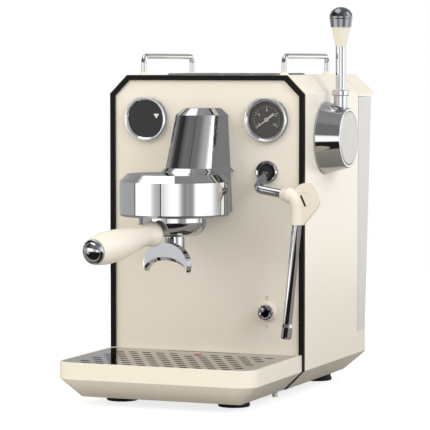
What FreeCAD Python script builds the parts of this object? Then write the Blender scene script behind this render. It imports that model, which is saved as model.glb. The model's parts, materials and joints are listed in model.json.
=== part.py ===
import FreeCAD, Part
import math
import os
import re
import Sketcher
from FreeCAD import Vector

# Driving dimensions in millimetres and degrees
# Machine frame: x from the middle of the case to its right, y backwards from the front frame,
# z up from the case's base. Tools that cut run 1 mm past the solid
SIZES = {
    # Place of the part's origin in the machine frame, under the middle of its outer box
    "origin_right": 19.3,
    "origin_back": 2.7,
    # Eight-sided case
    "body_width": 250.0,
    "body_height": 373.0,
    "top_chamfer": 22.4,
    "bottom_chamfer": 23.0,
    "shell_wall": 2.5,
    "frame_depth": 5.0,
    "frame_band": 6.2,
    "panel_recess": 3.0,
    "shell_back": 200.0,
    "foot_lap": 20.0,
    "foot_reach": 39.0,
    "foot_top": 50.0,
    "foot_slope": 25.0,
    "case_round": 10.0,
    "base_edge": 4.0,
    "base_front": 12.0,
    "base_rear_edge": 8.0,
    # Front drip housing, pan, grate and float
    "drip_margin": 2.0,
    "drip_front": 164.0,
    "drip_top": 42.0,
    "drip_slope": 22.4,
    "drip_inset": 23.0,
    "drip_corner": 20.0,
    "drip_base_corner": 5.0,
    "drip_wall": 2.5,
    "sump_inset": 26.0,
    "sump_back": 6.0,
    "sump_floor": 3.0,
    "ledge_height": 24.0,
    "pan_gap": 0.5,
    "pan_wall": 2.0,
    "grate_sheet": 1.2,
    "grate_drop": 0.5,
    "slot_length": 10.5,
    "slot_width": 6.0,
    "slot_pitch": 17.5,
    "row_pitch": 16.5,
    "slot_margin": 5.0,
    "slot_back": 16.0,
    "finger_slot": 92.0,
    "finger_width": 3.0,
    "finger_back": 9.0,
    "float_right": 4.6,
    "float_front": 34.9,
    "float_radius": 4.6,
    "float_bob": 11.0,
    "float_gap": 0.8,
    "float_shoulder": 8.0,
    "float_neck": 10.0,
    "float_rest": 0.3,
    "float_proud": 0.5,
    "pan_lift": 6.0,
    "boss_radius": 5.0,
    "boss_top": 8.0,
    # Feet and the drain stub
    "foot_radius": 18.6,
    "foot_neck": 17.4,
    "foot_tread": 3.5,
    "foot_round": 1.0,
    "foot_height": 9.5,
    "front_foot_inset": 52.3,
    "front_foot_setback": 77.8,
    "rear_foot_inset": 44.0,
    "rear_foot_setback": 28.0,
    "screw_radius": 2.0,
    "screw_head": 4.4,
    "screw_grip": 6.0,
    "screw_room": 0.5,
    "stub_inset": 29.0,
    "stub_front": 13.0,
    "stub_radius": 3.25,
    "stub_length": 7.0,
    # Mains inlet in the rear
    "inlet_left": 60.0,
    "inlet_height": 36.0,
    "inlet_width": 27.0,
    "inlet_tall": 19.0,
    "inlet_depth": 22.0,
    "inlet_flange": 4.0,
    "inlet_wall": 2.0,
    "inlet_pin": 1.2,
    "inlet_pitch": 6.0,
    # Ribs and rails on top
    "rib_width": 21.0,
    "rib_height": 2.0,
    "rib_bevel": 1.8,
    "rib_front": 41.0,
    "rib_setback": 35.0,
    "rib_inner": 19.0,
    "rib_outer": 56.5,
    "rail_inset": 34.0,
    "rail_front": 25.0,
    "rail_setback": 21.0,
    "rail_rise": 22.7,
    "rail_root": 9.0,
    "rail_radius": 3.25,
    "rail_bend": 8.0,
    "ferrule_radius": 5.3,
    "ferrule_neck": 4.3,
    "ferrule_height": 4.0,
    # Pressure gauge and round display window
    "dial_inset": 47.5,
    "dial_drop": 52.7,
    "bezel_radius": 26.9,
    "bezel_width": 3.7,
    "bezel_front": 4.0,
    "bezel_bevel": 1.4,
    "gauge_depth": 30.0,
    "gauge_wall": 1.4,
    "dial_recess": 2.0,
    "dial_sheet": 1.0,
    "needle_tip": 16.5,
    "needle_tail": 11.0,
    "needle_hub": 2.4,
    "needle_sheet": 0.6,
    "needle_slope": 38.0,
    "needle_rise": 0.3,
    "needle_boss": 1.3,
    "needle_point": 0.25,
    "needle_waist": 0.8,
    "needle_wide": 1.3,
    "stop_right": 6.1,
    "stop_below": 12.5,
    "pivot_radius": 0.8,
    "glass_back": 0.8,
    "glass_sheet": 1.4,
    "window_edge": 4.5,
    "window_depth": 14.0,
    "window_front": 1.4,
    "window_round": 0.6,
    # Brew group
    "group_reach": 95.0,
    "drum_radius": 64.0,
    "drum_drop": 162.5,
    "drum_wall_height": 40.0,
    "drum_height": 48.5,
    "drum_bevel": 9.0,
    "drum_round": 3.0,
    "drum_wall": 2.5,
    "column_drop": 39.2,
    "column_bevel_height": 8.0,
    "column_bevel": 9.0,
    "column_foot_radius": 33.6,
    "column_head_radius": 27.8,
    "column_foot_reach": 62.0,
    "column_head_reach": 20.0,
    "column_wall": 2.5,
    "column_flare": 4.5,
    "flare_height": 5.0,
    "arm_width": 22.0,
    "arm_rise": 17.5,
    "arm_height": 18.0,
    "arm_back": 30.0,
    "head_gap": 8.0,
    "head_recess": 0.5,
    "ramp_thick": 4.0,
    "head_room": 15.0,
    "gasket_width": 9.4,
    "gasket_overhang": 0.7,
    "gasket_rise": 3.0,
    "ear_room": 1.5,
    "screen_gap": 0.8,
    "screen_thick": 3.0,
    "stop_reach": 10.5,
    "stop_back": 13.0,
    "stop_drop": 13.0,
    # Filter holder
    "holder_angle": 12.0,
    "unlock_turn": 38.0,
    "bowl_radius": 37.2,
    "bowl_insert": 10.0,
    "bowl_depth": 33.5,
    "bowl_wall": 4.0,
    "bowl_round": 17.0,
    "ear_reach": 5.5,
    "ear_thick": 4.0,
    "ear_angle": 40.0,
    "ear_gap": 0.6,
    "lip_gap": 1.0,
    "basket_lip": 0.8,
    "basket_gap": 1.6,
    "basket_depth": 21.0,
    "basket_wall": 0.6,
    "clip_radius": 0.7,
    "stem_radius": 11.5,
    "stem_thread": 8.5,
    "thread_length": 6.0,
    "spout_half": 30.7,
    "spout_rise": 25.6,
    "spout_drop": 32.5,
    "arch_half": 29.0,
    "arch_rise": 15.0,
    "arch_drop": 10.0,
    "spout_thick": 10.0,
    "spout_ahead": 15.0,
    "boss_drop": 9.0,
    "spout_bore": 3.0,
    "neck_radius": 7.25,
    "neck_length": 4.0,
    "neck_root": 8.0,
    "handle_reach": 114.8,
    "handle_rise": 5.2,
    "handle_droop": 6.85,
    "stud_radius": 4.0,
    "grip_back": 12.8,
    "grip_bulge": 15.0,
    "grip_neck": 12.5,
    "grip_waist": 11.7,
    "grip_mid": 14.5,
    "grip_belly": 18.2,
    "grip_end": 14.8,
    "cap_radius": 14.0,
    "cap_rim": 3.0,
    "cap_step": 2.0,
    "cap_lip": 1.0,
    "cap_seat": 2.5,
    "cap_dome": 5.5,
    # Steam wand
    "steam_drop": 114.8,
    "ball_recess": 4.0,
    "ball_radius": 10.0,
    "ball_gap": 0.5,
    "socket_wall": 3.0,
    "socket_depth": 17.0,
    "pipe_radius": 5.0,
    "pipe_reach": 36.0,
    "pipe_drop": 18.2,
    "pipe_bend": 12.0,
    "arm_run": 56.6,
    "arm_yaw": 12.2,
    "arm_dip": 7.7,
    "pipe_gap": 0.3,
    "pipe_short": 6.0,
    "elbow_entry": 20.5,
    "elbow_mouth": 6.3,
    "elbow_bulge": 9.3,
    "bulge_back": 9.5,
    "elbow_radius": 8.0,
    "elbow_bend": 12.0,
    "tab_radius": 18.0,
    "tab_thick": 3.3,
    "tab_ahead": 13.6,
    "tab_below": 1.5,
    "tab_foot": 9.8,
    "slit_ahead": 9.4,
    "slit_below": 4.2,
    "slit_length": 15.4,
    "slit_width": 1.8,
    "slit_lean": 63.0,
    "leg_radius": 7.7,
    "leg_drop": 58.2,
    "wand_radius": 5.5,
    "wand_lean": 5.65,
    "wand_clear": 24.0,
    "wand_seat": 12.0,
    "tip_radius": 6.5,
    "tip_length": 18.0,
    # Toggle switch
    "switch_inset": 46.2,
    "switch_height": 91.8,
    "bush_radius": 11.5,
    "bush_front": 3.0,
    "bush_bevel": 1.5,
    "nut_bevel": 1.0,
    "nut_radius": 8.75,
    "nut_front": 8.0,
    "thread_radius": 5.0,
    "bat_mouth": 3.4,
    "bat_root": 2.0,
    "bat_end": 3.2,
    "bat_length": 21.0,
    "bat_tilt": 13.0,
    "bat_pivot": 5.0,
    "switch_depth": 24.0,
    "switch_block": 18.0,
    # Brew lever on the right side
    "lever_back": 77.0,
    "lever_drop": 75.5,
    "hub_gap": 0.5,
    "hub_depth": 30.0,
    "hub_radius": 44.0,
    "hub_taper": 8.25,
    "badge_rim": 2.75,
    "badge_recess": 1.5,
    "axle_radius": 8.0,
    "bearing_wall": 5.9,
    "bearing_length": 14.0,
    "bearing_gap": 0.1,
    "rod_side": 19.2,
    "neck_start": 36.0,
    "neck_width": 8.5,
    "collar_start": 50.5,
    "collar_length": 7.0,
    "collar_radius": 10.3,
    "rod_radius": 6.25,
    "rod_bare": 52.7,
    "cone_length": 22.7,
    "cone_small": 6.75,
    "cone_large": 11.5,
    "knob_foot": 12.3,
    "knob_radius": 13.8,
    "knob_rise": 12.1,
    "knob_half": 12.0,
    # Water tank, lid and valve
    "tank_gap": 2.0,
    "tank_lid_gap": 1.4,
    "tank_lean": 21.5,
    "tank_wall": 2.2,
    "tank_skirt": 16.0,
    "tank_round": 11.0,
    "lid_rim": 4.2,
    "lid_overhang": 5.5,
    "lid_slope": 14.0,
    "lid_wall": 2.0,
    "lid_round": 8.0,
    "lid_seam": 2.0,
    "hinge_side": 62.0,
    "hinge_width": 8.0,
    "hinge_behind": 3.1,
    "hinge_below": 2.8,
    "hinge_radius": 2.2,
    "hinge_pin": 1.2,
    "valve_setback": 20.0,
    "valve_radius": 8.0,
    "valve_gap": 0.4,
    "valve_shoulder": 4.0,
    "valve_foot": 6.0,
    # Inside the case
    "pump_left": 58.0,
    "pump_back": 110.0,
    "pump_radius": 19.0,
    "pump_height": 78.0,
    "pump_neck": 6.0,
    "pump_end": 18.0,
    "mount_sheet": 4.0,
    "boiler_radius": 36.0,
    "boiler_back": 84.0,
    "boiler_drop": 122.5,
    "boiler_height": 92.0,
    "hose_radius": 3.0,
    "hose_bend": 12.0,
    "hose_rise": 28.0,
    "board_width": 74.0,
    "board_height": 96.0,
    "board_sheet": 1.6,
    "board_above": 30.0,
    "relay_left": 20.0,
    "relay_below": 50.0,
    "relay_width": 16.0,
    "relay_tall": 22.0,
    "relay_deep": 14.0,
}

# Places and sizes that follow from the driving dimensions
FOLLOWING = {
    "half_width": "body_width / 2",
    "foot_back": "shell_back + foot_reach",
    "base_back": "shell_back - base_rear_edge",
    "drip_half": "half_width - drip_margin",
    "front_foot_side": "drip_half - front_foot_inset",
    "front_foot_front": "drip_front - front_foot_setback",
    "rear_foot_side": "half_width - rear_foot_inset",
    "rear_foot_back": "shell_back - rear_foot_setback",
    "pan_floor": "sump_floor + pan_lift",
    "stub_right": "drip_half - stub_inset",
    "rib_back": "shell_back - rib_setback",
    "rail_side": "half_width - rail_inset",
    "rail_back": "shell_back - rail_setback",
    "dial_side": "half_width - dial_inset",
    "dial_height": "body_height - dial_drop",
    "bezel_inner": "bezel_radius - bezel_width",
    "window_radius": "bezel_radius - window_edge",
    "drum_bottom": "body_height - drum_drop",
    "drum_side": "drum_bottom + drum_wall_height",
    "drum_top": "drum_bottom + drum_height",
    "column_top": "body_height - column_drop",
    "arm_bottom": "drum_bottom + arm_rise",
    "arm_top": "arm_bottom + arm_height",
    "head_radius": "drum_radius - head_gap",
    "head_bottom": "drum_bottom + head_recess",
    "ceiling": "head_bottom + head_room",
    "gasket_outer": "bowl_radius + gasket_overhang",
    "gasket_inner": "gasket_outer - gasket_width",
    "lock_recess": "bowl_radius + ear_reach + ear_room",
    "screen_radius": "gasket_inner - screen_gap",
    "stop_left": "bowl_radius + stop_reach",
    "bowl_top": "drum_bottom + bowl_insert",
    "bowl_bottom": "bowl_top - bowl_depth",
    "spout_centre": "bowl_bottom - spout_drop",
    "arch_centre": "spout_centre - arch_drop",
    "handle_start": "bowl_radius + neck_length",
    "handle_end": "handle_start + handle_reach",
    "handle_height": "bowl_bottom + handle_rise",
    "steam_height": "body_height - steam_drop",
    "socket_radius": "ball_radius + ball_gap + socket_wall",
    "leg_bottom": "steam_height - leg_drop",
    "elbow_height": "steam_height - pipe_drop - arm_run * sin(arm_dip)",
    "elbow_shoulder": "elbow_bend / tan(45 + arm_dip / 2) + 0.2",
    "tab_drop": "elbow_height - leg_bottom - tab_below",
    "tab_span": "sqrt(tab_drop ^ 2 + (tab_ahead - tab_foot) ^ 2)",
    "tab_turn": "-asin(tab_radius / tab_span) - atan((tab_ahead - tab_foot) / tab_drop)",
    "wand_length": "(leg_bottom - drip_top - wand_clear) / cos(wand_lean) - tip_length",
    "switch_side": "half_width - switch_inset",
    "lever_height": "body_height - lever_drop",
    "hub_face": "hub_radius - hub_taper",
    "badge_radius": "hub_face - badge_rim",
    "bearing_radius": "axle_radius + bearing_gap + bearing_wall",
    "collar_end": "collar_start + collar_length",
    "cone_start": "collar_end + rod_bare",
    "cone_end": "cone_start + cone_length",
    "knob_centre": "cone_end + knob_rise",
    "lid_bottom": "body_height - top_chamfer - lid_rim",
    "tank_top": "lid_bottom - tank_lid_gap",
    "tank_back": "foot_back + tank_lean",
    "tank_floor": "foot_top + tank_skirt",
    "lid_back": "tank_back + lid_overhang",
    "hinge_back": "tank_back + hinge_behind",
    "hinge_height": "lid_bottom - hinge_below",
    "valve_back": "shell_back + valve_setback",
    "boiler_bottom": "lever_height - boiler_drop",
}

document = FreeCAD.newDocument("pump_espresso_machine")
sheet = document.addObject("Spreadsheet::Sheet", "Sizes")
for row, (alias, size) in enumerate(SIZES.items(), start=1):
    sheet.set(f"A{row}", alias)
    sheet.set(f"B{row}", str(size))
    sheet.setAlias(f"B{row}", alias)
document.recompute()

UPRIGHT = "rotation(0; 0; 0)"
FORWARD = "rotation(0; 0; 90)"
RIGHTWARD = "rotation(0; 90; 0)"
ALONG_ARM = "rotation(-arm_yaw; 90 + arm_dip; 0)"
ALONG_HANDLE = "rotation(0; 0; 90 + handle_droop)"
CENTRE = ("0", "0", "0")
CENTRE_POINT, UP = Vector(0, 0, 0), Vector(0, 0, 1)
nodes = {}


def formula(text):
    """Point each named size in a formula at its cell of the sheet"""
    def cell(word):
        name = word[0]
        if name in FOLLOWING:
            return "(" + formula(FOLLOWING[name]) + ")"
        return "Sizes." + name if name in SIZES else name
    return re.sub(r"[a-z_]{3,}", cell, text)


def value(text):
    return float(sheet.evalExpression(formula(text)))


def bind(piece, **sizes):
    for field, text in sizes.items():
        piece.setExpression(field, formula(text))


def place(piece, at=CENTRE, turn=UPRIGHT):
    """Put a feature at a point of the machine frame, turned"""
    x, y, z = at
    piece.setExpression("Placement", formula(f"placement(vector({x}; {y}; {z}); {turn})"))
    return piece


def node(label, piece, at=CENTRE, turn=UPRIGHT):
    """Name a sub-part and carry it from the machine frame to the part's origin"""
    x, y, z = at
    place(piece, (f"{x} - origin_right", f"{y} - origin_back", f"{z} + foot_height"), turn)
    piece.Label = label
    nodes[label] = piece


def box(name, low, high):
    block = document.addObject("Part::Box", name)
    for side, start, end in zip(("Length", "Width", "Height"), low, high):
        block.setExpression(side, formula(f"({end}) - ({start})"))
    return place(block, low)


def rod(name, radius, start, end, at=CENTRE, turn=UPRIGHT):
    """A cylinder between two heights along its own axis"""
    piece = document.addObject("Part::Cylinder", name)
    bind(piece, Radius=radius, Height=f"({end}) - ({start})")
    return shifted(piece, start, at, turn)


def cone(name, radius_start, radius_end, start, end, at=CENTRE, turn=UPRIGHT):
    piece = document.addObject("Part::Cone", name)
    bind(piece, Radius1=radius_start, Radius2=radius_end, Height=f"({end}) - ({start})")
    return shifted(piece, start, at, turn)


def shifted(piece, start, at, turn):
    """Move a round piece to its start along its own axis, then turn it to its place"""
    x, y, z = at
    own = f"placement(vector(0; 0; {start}); {UPRIGHT})"
    piece.setExpression("Placement", formula(f"placement(vector({x}; {y}; {z}); {turn}) * {own}"))
    return piece


def ball(name, radius, at):
    piece = document.addObject("Part::Sphere", name)
    bind(piece, Radius=radius)
    return place(piece, at)


def joined(name, *pieces):
    fusion = document.addObject("Part::MultiFuse", name)
    fusion.Shapes = list(pieces)
    fusion.Refine = True
    return fusion


def group(name, *pieces):
    """Several separate solids of one kind"""
    compound = document.addObject("Part::Compound", name)
    compound.Links = list(pieces)
    return compound


def without(name, base, *tools):
    cut = document.addObject("Part::Cut", name)
    cut.Base = base
    cut.Tool = tools[0] if len(tools) == 1 else group(name + "_tools", *tools)
    cut.Refine = True
    return cut


def common(name, *pieces):
    shared = document.addObject("Part::MultiCommon", name)
    shared.Shapes = list(pieces)
    shared.Refine = True
    return shared


def new_sketch(body, name, role, height):
    """A sketch on one of the body's own planes, moved along that plane's normal"""
    sketch = body.newObject("Sketcher::SketchObject", name)
    plane = [feature for feature in body.Origin.OriginFeatures if feature.Role == role][0]
    sketch.AttachmentSupport = [(plane, "")]
    sketch.MapMode = "FlatFace"
    sketch.setExpression("AttachmentOffset.Base.z", formula(height))
    return sketch


def pin_point(sketch, edge, end, point):
    """Hold one end of a sketch edge at a point given by two formulas"""
    for kind, text in zip(("DistanceX", "DistanceY"), point):
        index = sketch.addConstraint(Sketcher.Constraint(kind, -1, 1, edge, end, value(text)))
        sketch.setExpression(f"Constraints[{index}]", formula(text))


def outline(body, name, role, points, height="0"):
    """A closed outline of straight edges"""
    sketch = new_sketch(body, name, role, height)
    corners = [Vector(value(x), value(y), 0) for x, y in points]
    count = len(corners)
    for index, corner in enumerate(corners):
        sketch.addGeometry(Part.LineSegment(corner, corners[(index + 1) % count]), False)
    for index in range(count):
        sketch.addConstraint(Sketcher.Constraint("Coincident", index, 2, (index + 1) % count, 1))
    for index, point in enumerate(points):
        pin_point(sketch, index, 1, point)
    return sketch


def arched_outline(body, name, height, radius, reach, back):
    """Two straight sides and a half-circle front, its centre at reach in front of y 0"""
    sketch = new_sketch(body, name, "XY_Plane", height)
    half, front, rear = value(radius), -value(reach), value(back)
    sketch.addGeometry(Part.LineSegment(Vector(-half, rear, 0), Vector(-half, front, 0)), False)
    arc_circle = Part.Circle(Vector(0, front, 0), Vector(0, 0, 1), half)
    sketch.addGeometry(Part.ArcOfCircle(arc_circle, math.pi, 2 * math.pi), False)
    sketch.addGeometry(Part.LineSegment(Vector(half, front, 0), Vector(half, rear, 0)), False)
    sketch.addGeometry(Part.LineSegment(Vector(half, rear, 0), Vector(-half, rear, 0)), False)
    for edge in range(4):
        sketch.addConstraint(Sketcher.Constraint("Coincident", edge, 2, (edge + 1) % 4, 1))
    pin_point(sketch, 0, 1, (f"-({radius})", back))
    pin_point(sketch, 0, 2, (f"-({radius})", f"-({reach})"))
    pin_point(sketch, 2, 1, (radius, f"-({reach})"))
    pin_point(sketch, 2, 2, (radius, back))
    index = sketch.addConstraint(Sketcher.Constraint("DistanceY", -1, 1, 1, 3, front))
    sketch.setExpression(f"Constraints[{index}]", formula(f"-({reach})"))
    return sketch


def tray_outline(body, name, height, half, front, back, corner):
    """A rectangle with its two front corners round"""
    sketch = new_sketch(body, name, "XY_Plane", height)
    side, nose, rear, turn = value(half), value(front), value(back), value(corner)
    sketch.addGeometry(Part.LineSegment(Vector(-side, rear, 0), Vector(-side, nose + turn, 0)), False)
    left = Part.Circle(Vector(-side + turn, nose + turn, 0), Vector(0, 0, 1), turn)
    sketch.addGeometry(Part.ArcOfCircle(left, math.pi, 1.5 * math.pi), False)
    sketch.addGeometry(Part.LineSegment(Vector(-side + turn, nose, 0), Vector(side - turn, nose, 0)), False)
    right = Part.Circle(Vector(side - turn, nose + turn, 0), Vector(0, 0, 1), turn)
    sketch.addGeometry(Part.ArcOfCircle(right, 1.5 * math.pi, 2 * math.pi), False)
    sketch.addGeometry(Part.LineSegment(Vector(side, nose + turn, 0), Vector(side, rear, 0)), False)
    sketch.addGeometry(Part.LineSegment(Vector(side, rear, 0), Vector(-side, rear, 0)), False)
    for edge in range(6):
        sketch.addConstraint(Sketcher.Constraint("Coincident", edge, 2, (edge + 1) % 6, 1))
    pin_point(sketch, 0, 1, (f"-({half})", back))
    pin_point(sketch, 0, 2, (f"-({half})", f"({front}) + ({corner})"))
    pin_point(sketch, 2, 1, (f"-({half}) + ({corner})", front))
    pin_point(sketch, 2, 2, (f"({half}) - ({corner})", front))
    pin_point(sketch, 4, 1, (half, f"({front}) + ({corner})"))
    pin_point(sketch, 4, 2, (half, back))
    for arc, sign in ((1, "-"), (3, "")):
        text = f"{sign}(({half}) - ({corner}))"
        index = sketch.addConstraint(Sketcher.Constraint("DistanceX", -1, 1, arc, 3, value(text)))
        sketch.setExpression(f"Constraints[{index}]", formula(text))
    return sketch


def new_body(name):
    return document.addObject("PartDesign::Body", name)


def pad(body, sketch, length):
    feature = body.newObject("PartDesign::Pad", body.Name + "_pad")
    feature.Profile = sketch
    bind(feature, Length=length)
    return feature


def loft(body, sketches):
    feature = body.newObject("PartDesign::AdditiveLoft", body.Name + "_loft")
    feature.Profile = sketches[0]
    feature.Sections = [(sketch, [""]) for sketch in sketches[1:]]
    feature.Ruled = True
    return feature


def edges_at(shape, points, tolerance=0.01):
    """Names of the edges that pass through one of the given points"""
    found = []
    for index, edge in enumerate(shape.Edges, start=1):
        if any(edge.distToShape(Part.Vertex(point))[0] < tolerance for point in points):
            found.append(f"Edge{index}")
    return found


def dress(body, kind, size, points):
    """Round or bevel the edges of the body's last feature that pass through the points"""
    document.recompute()
    base = body.Tip
    feature = body.newObject("PartDesign::" + kind, body.Name + "_" + kind.lower())
    feature.Base = (base, edges_at(base.Shape, points))
    field = "Radius" if kind == "Fillet" else "Size"
    bind(feature, **{field: size})
    return body


def prism(name, role, points, start, end):
    """A straight piece with one outline, from start to end along x, y or z"""
    body = new_body(name)
    height = f"-({end})" if role == "XZ_Plane" else start
    sketch = outline(body, name + "_outline", role, points, height)
    pad(body, sketch, f"({end}) - ({start})")
    return body


def turned(name, profile, rounding=()):
    """A round piece about z from its profile of radius and height, some of its edges rounded"""
    body = new_body(name)
    sketch = outline(body, name + "_profile", "XZ_Plane", profile)
    feature = body.newObject("PartDesign::Revolution", name + "_turn")
    feature.Profile = sketch
    feature.ReferenceAxis = (sketch, ["V_Axis"])
    feature.Angle = 360
    for radius, (reach, height) in rounding:
        dress(body, "Fillet", radius, [Vector(value(reach), 0, value(height))])
    return body


def tube(name, route, radius, bend):
    """A bent round bar along straight runs joined by tangent arcs"""
    points = [Vector(*[value(text) for text in point]) for point in route]
    turn = value(bend)
    start = points[0]
    edges = []
    for before, corner, after in zip(points, points[1:], points[2:]):
        back = (before - corner).normalize()
        ahead = (after - corner).normalize()
        half = back.getAngle(ahead) / 2
        setback = turn / math.tan(half)
        entry = corner + back * setback
        leave = corner + ahead * setback
        middle = corner + (back + ahead).normalize() * (turn / math.sin(half) - turn)
        edges.append(Part.LineSegment(start, entry).toShape())
        edges.append(Part.Arc(entry, middle, leave).toShape())
        start = leave
    edges.append(Part.LineSegment(start, points[-1]).toShape())
    path = Part.Wire(edges)
    section = Part.Wire(Part.Circle(points[0], points[1] - points[0], value(radius)).toShape())
    piece = document.addObject("Part::Feature", name)
    piece.Shape = path.makePipeShell([section], True, False)
    return piece


def octagon(inset):
    """The case's outline, moved inwards by the inset"""
    side = f"(half_width - ({inset}))"
    low = f"({inset})"
    high = f"(body_height - ({inset}))"
    top = f"(top_chamfer - (2 - sqrt(2)) * ({inset}))"
    bottom = f"(bottom_chamfer - (2 - sqrt(2)) * ({inset}))"
    right = [
        (f"{side} - {bottom}", low),
        (side, f"{low} + {bottom}"),
        (side, f"{high} - {top}"),
        (f"{side} - {top}", high),
    ]
    return right + [(f"-({x})", z) for x, z in reversed(right)]


def tunnel(name, inset, start, end):
    return prism(name, "XZ_Plane", octagon(inset), start, end)


def side_profile(name, points, half, corners, radius):
    """A side view pushed across the machine, with its rear upright edges rounded"""
    body = prism(name, "YZ_Plane", points, f"-({half})", half)
    spots = [Vector(sign * value(half), value(y), value(z)) for y, z in corners for sign in (-1, 1)]
    return dress(body, "Fillet", radius, spots)


def rear_foot(name, inset, start):
    """The case's low rear, which the tank stands on"""
    back = f"foot_back - ({inset})"
    low = f"({inset})"
    top = f"foot_top - ({inset})"
    points = [
        (start, low),
        (f"{back} - foot_slope", low),
        (back, f"{low} + bottom_chamfer"),
        (back, top),
        (start, top),
    ]
    middle = (back, f"({low} + bottom_chamfer + {top}) / 2")
    block = side_profile(name + "_block", points, f"half_width - ({inset})", [middle],
                         f"case_round - ({inset})")
    return common(name, block, tunnel(name + "_case", inset, start, "foot_back"))


def make_case():
    outer = joined("Shell_outer", tunnel("Tunnel_outer", "0", "frame_depth", "shell_back"),
                   rear_foot("Foot_outer", "0", "shell_back - foot_lap"))
    inner = joined("Shell_inner", tunnel("Tunnel_inner", "shell_wall", "0", "shell_back + 1"),
                   rear_foot("Foot_inner", "shell_wall", "shell_back - foot_lap"))
    shelf = box("Shelf", ("-half_width + shell_wall", "shell_back - shell_wall", "foot_top - shell_wall"),
                ("half_width - shell_wall", "foot_back - shell_wall - case_round", "foot_top"))
    base_half = "half_width - bottom_chamfer - base_edge"
    base_hole = box("Base_hole", (f"-({base_half})", "base_front", "-1"),
                    (base_half, "base_back", "shell_wall + 1"))
    walls = without("Shell_walls", outer, inner, base_hole)
    rail_holes = []
    for side in ("-rail_side", "rail_side"):
        for back in ("rail_front", "rail_back"):
            rail_holes.append(rod("Rail_hole", "rail_radius", "body_height - rail_root - 1", "body_height + 1",
                                  (side, back, "0")))
    axle_hole = rod("Axle_hole", "bearing_radius", "half_width - shell_wall - 1", "half_width + 1",
                    ("0", "lever_back", "lever_height"), RIGHTWARD)
    valve_hole = rod("Valve_hole", "valve_radius + valve_shoulder", "foot_top - shell_wall - 1",
                     "foot_top + 1", ("0", "valve_back", "0"))
    socket = inlet_block("Inlet_hole", "0", "foot_back - inlet_depth / 2", "foot_back + 1")
    shell = joined("Shell_body", walls, shelf)
    node("body_shell", without("Shell", shell, *rail_holes, axle_hole, valve_hole, socket))

    ring = without("Frame", tunnel("Frame_outer", "0", "0", "frame_depth"),
                   tunnel("Frame_inner", "frame_band", "-1", "frame_depth + 1"))
    node("front_frame", ring)

    holes = []
    for x, z, radius in (("dial_side", "dial_height", "bezel_inner"),
                         ("-dial_side", "dial_height", "window_radius"),
                         ("dial_side", "steam_height", "socket_radius - 1"),
                         ("switch_side", "switch_height", "thread_radius")):
        holes.append(rod("Panel_hole", radius, "-frame_depth - 1", "0", (x, "0", z), FORWARD))
    arm_hole = box("Arm_hole", ("-arm_width / 2", "0", "arm_bottom"),
                   ("arm_width / 2", "frame_depth + 1", "arm_top"))
    panel = tunnel("Panel_sheet", "frame_band", "panel_recess", "frame_depth")
    node("front_panel", without("Panel", panel, *holes, arm_hole))

    wall = tunnel("Bulkhead_sheet", "shell_wall", "shell_back - shell_wall", "shell_back")
    below = box("Bulkhead_below", ("-body_width", "0", "-1"), ("body_width", "shell_back + 1", "foot_top"))
    node("rear_bulkhead", without("Bulkhead", wall, below))

    base = box("Base_sheet", (f"-({base_half})", "base_front", "0"), (base_half, "base_back", "shell_wall"))
    screw_holes = [rod("Base_screw_hole", "screw_radius", "-1", "shell_wall + 1", (x, "rear_foot_back", "0"))
                   for x in ("-rear_foot_side", "rear_foot_side")]
    node("base_plate", without("Base", base, *screw_holes))


def inlet_block(name, inset, start, end):
    half_width = f"(inlet_width / 2 - ({inset}))"
    half_tall = f"(inlet_tall / 2 - ({inset}))"
    return box(name, (f"-inlet_left - {half_width}", start, f"inlet_height - {half_tall}"),
               (f"-inlet_left + {half_width}", end, f"inlet_height + {half_tall}"))


def make_inlet():
    tub = inlet_block("Inlet_tub", "0", "foot_back - inlet_depth", "foot_back + inlet_wall")
    flange = inlet_block("Inlet_flange", "-inlet_flange", "foot_back", "foot_back + inlet_wall")
    cavity = inlet_block("Inlet_cavity", "inlet_wall", "foot_back - inlet_depth + inlet_wall",
                         "foot_back + inlet_wall + 1")
    shell = without("Inlet_shell", joined("Inlet_solid", tub, flange), cavity)
    pins = [rod("Inlet_pin", "inlet_pin", "-foot_back - 1", "-foot_back + inlet_depth - 1",
                (f"-inlet_left + inlet_pitch * {column}", "0", "inlet_height"), FORWARD)
            for column in (-1, 0, 1)]
    node("mains_inlet", joined("Inlet", shell, *pins))


def make_feet():
    places = [(f"{sign}front_foot_side", "-front_foot_front", "0") for sign in ("-", "")]
    places += [(f"{sign}rear_foot_side", "rear_foot_back", "0") for sign in ("-", "")]
    profile = [
        ("screw_radius", "-foot_height / 2"),
        ("screw_head", "-foot_height / 2"),
        ("screw_head", "-foot_height"),
        ("foot_radius", "-foot_height"),
        ("foot_radius", "-foot_height + foot_tread"),
        ("foot_neck", "-foot_height + foot_tread + foot_radius - foot_neck"),
        ("foot_neck", "0"),
        ("screw_radius", "0"),
    ]
    feet, screws = [], []
    for spot in places:
        foot = turned("Foot", profile, [("foot_round", ("foot_radius", "-foot_height"))])
        feet.append(place(foot, spot))
        head = rod("Screw_head", "screw_head", "-foot_height + 1", "-foot_height / 2", spot)
        shank = rod("Screw_shank", "screw_radius", "-foot_height / 2 - 0.5", "screw_grip", spot)
        screws.append(joined("Foot_screw", head, shank))
    node("feet", group("Feet", *feet))
    node("foot_screws", group("Foot_screws", *screws))


def drip_block(name, inset, low, high, half="drip_half", front="drip_front", corner="drip_corner", back="0"):
    """An upright block of the drip housing's plan, moved inwards by the inset"""
    body = new_body(name)
    sketch = tray_outline(body, name + "_plan", low, f"{half} - ({inset})", f"-({front}) + ({inset})",
                          f"-({back})", f"{corner} - ({inset})")
    pad(body, sketch, f"({high}) - ({low})")
    return body


def sump_block(name, inset, low, high):
    """The deep middle of the drip housing and pan"""
    return drip_block(name, inset, low, high, "drip_half - sump_inset", "drip_front - sump_inset",
                      "drip_corner", f"sump_back + ({inset})")


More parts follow.
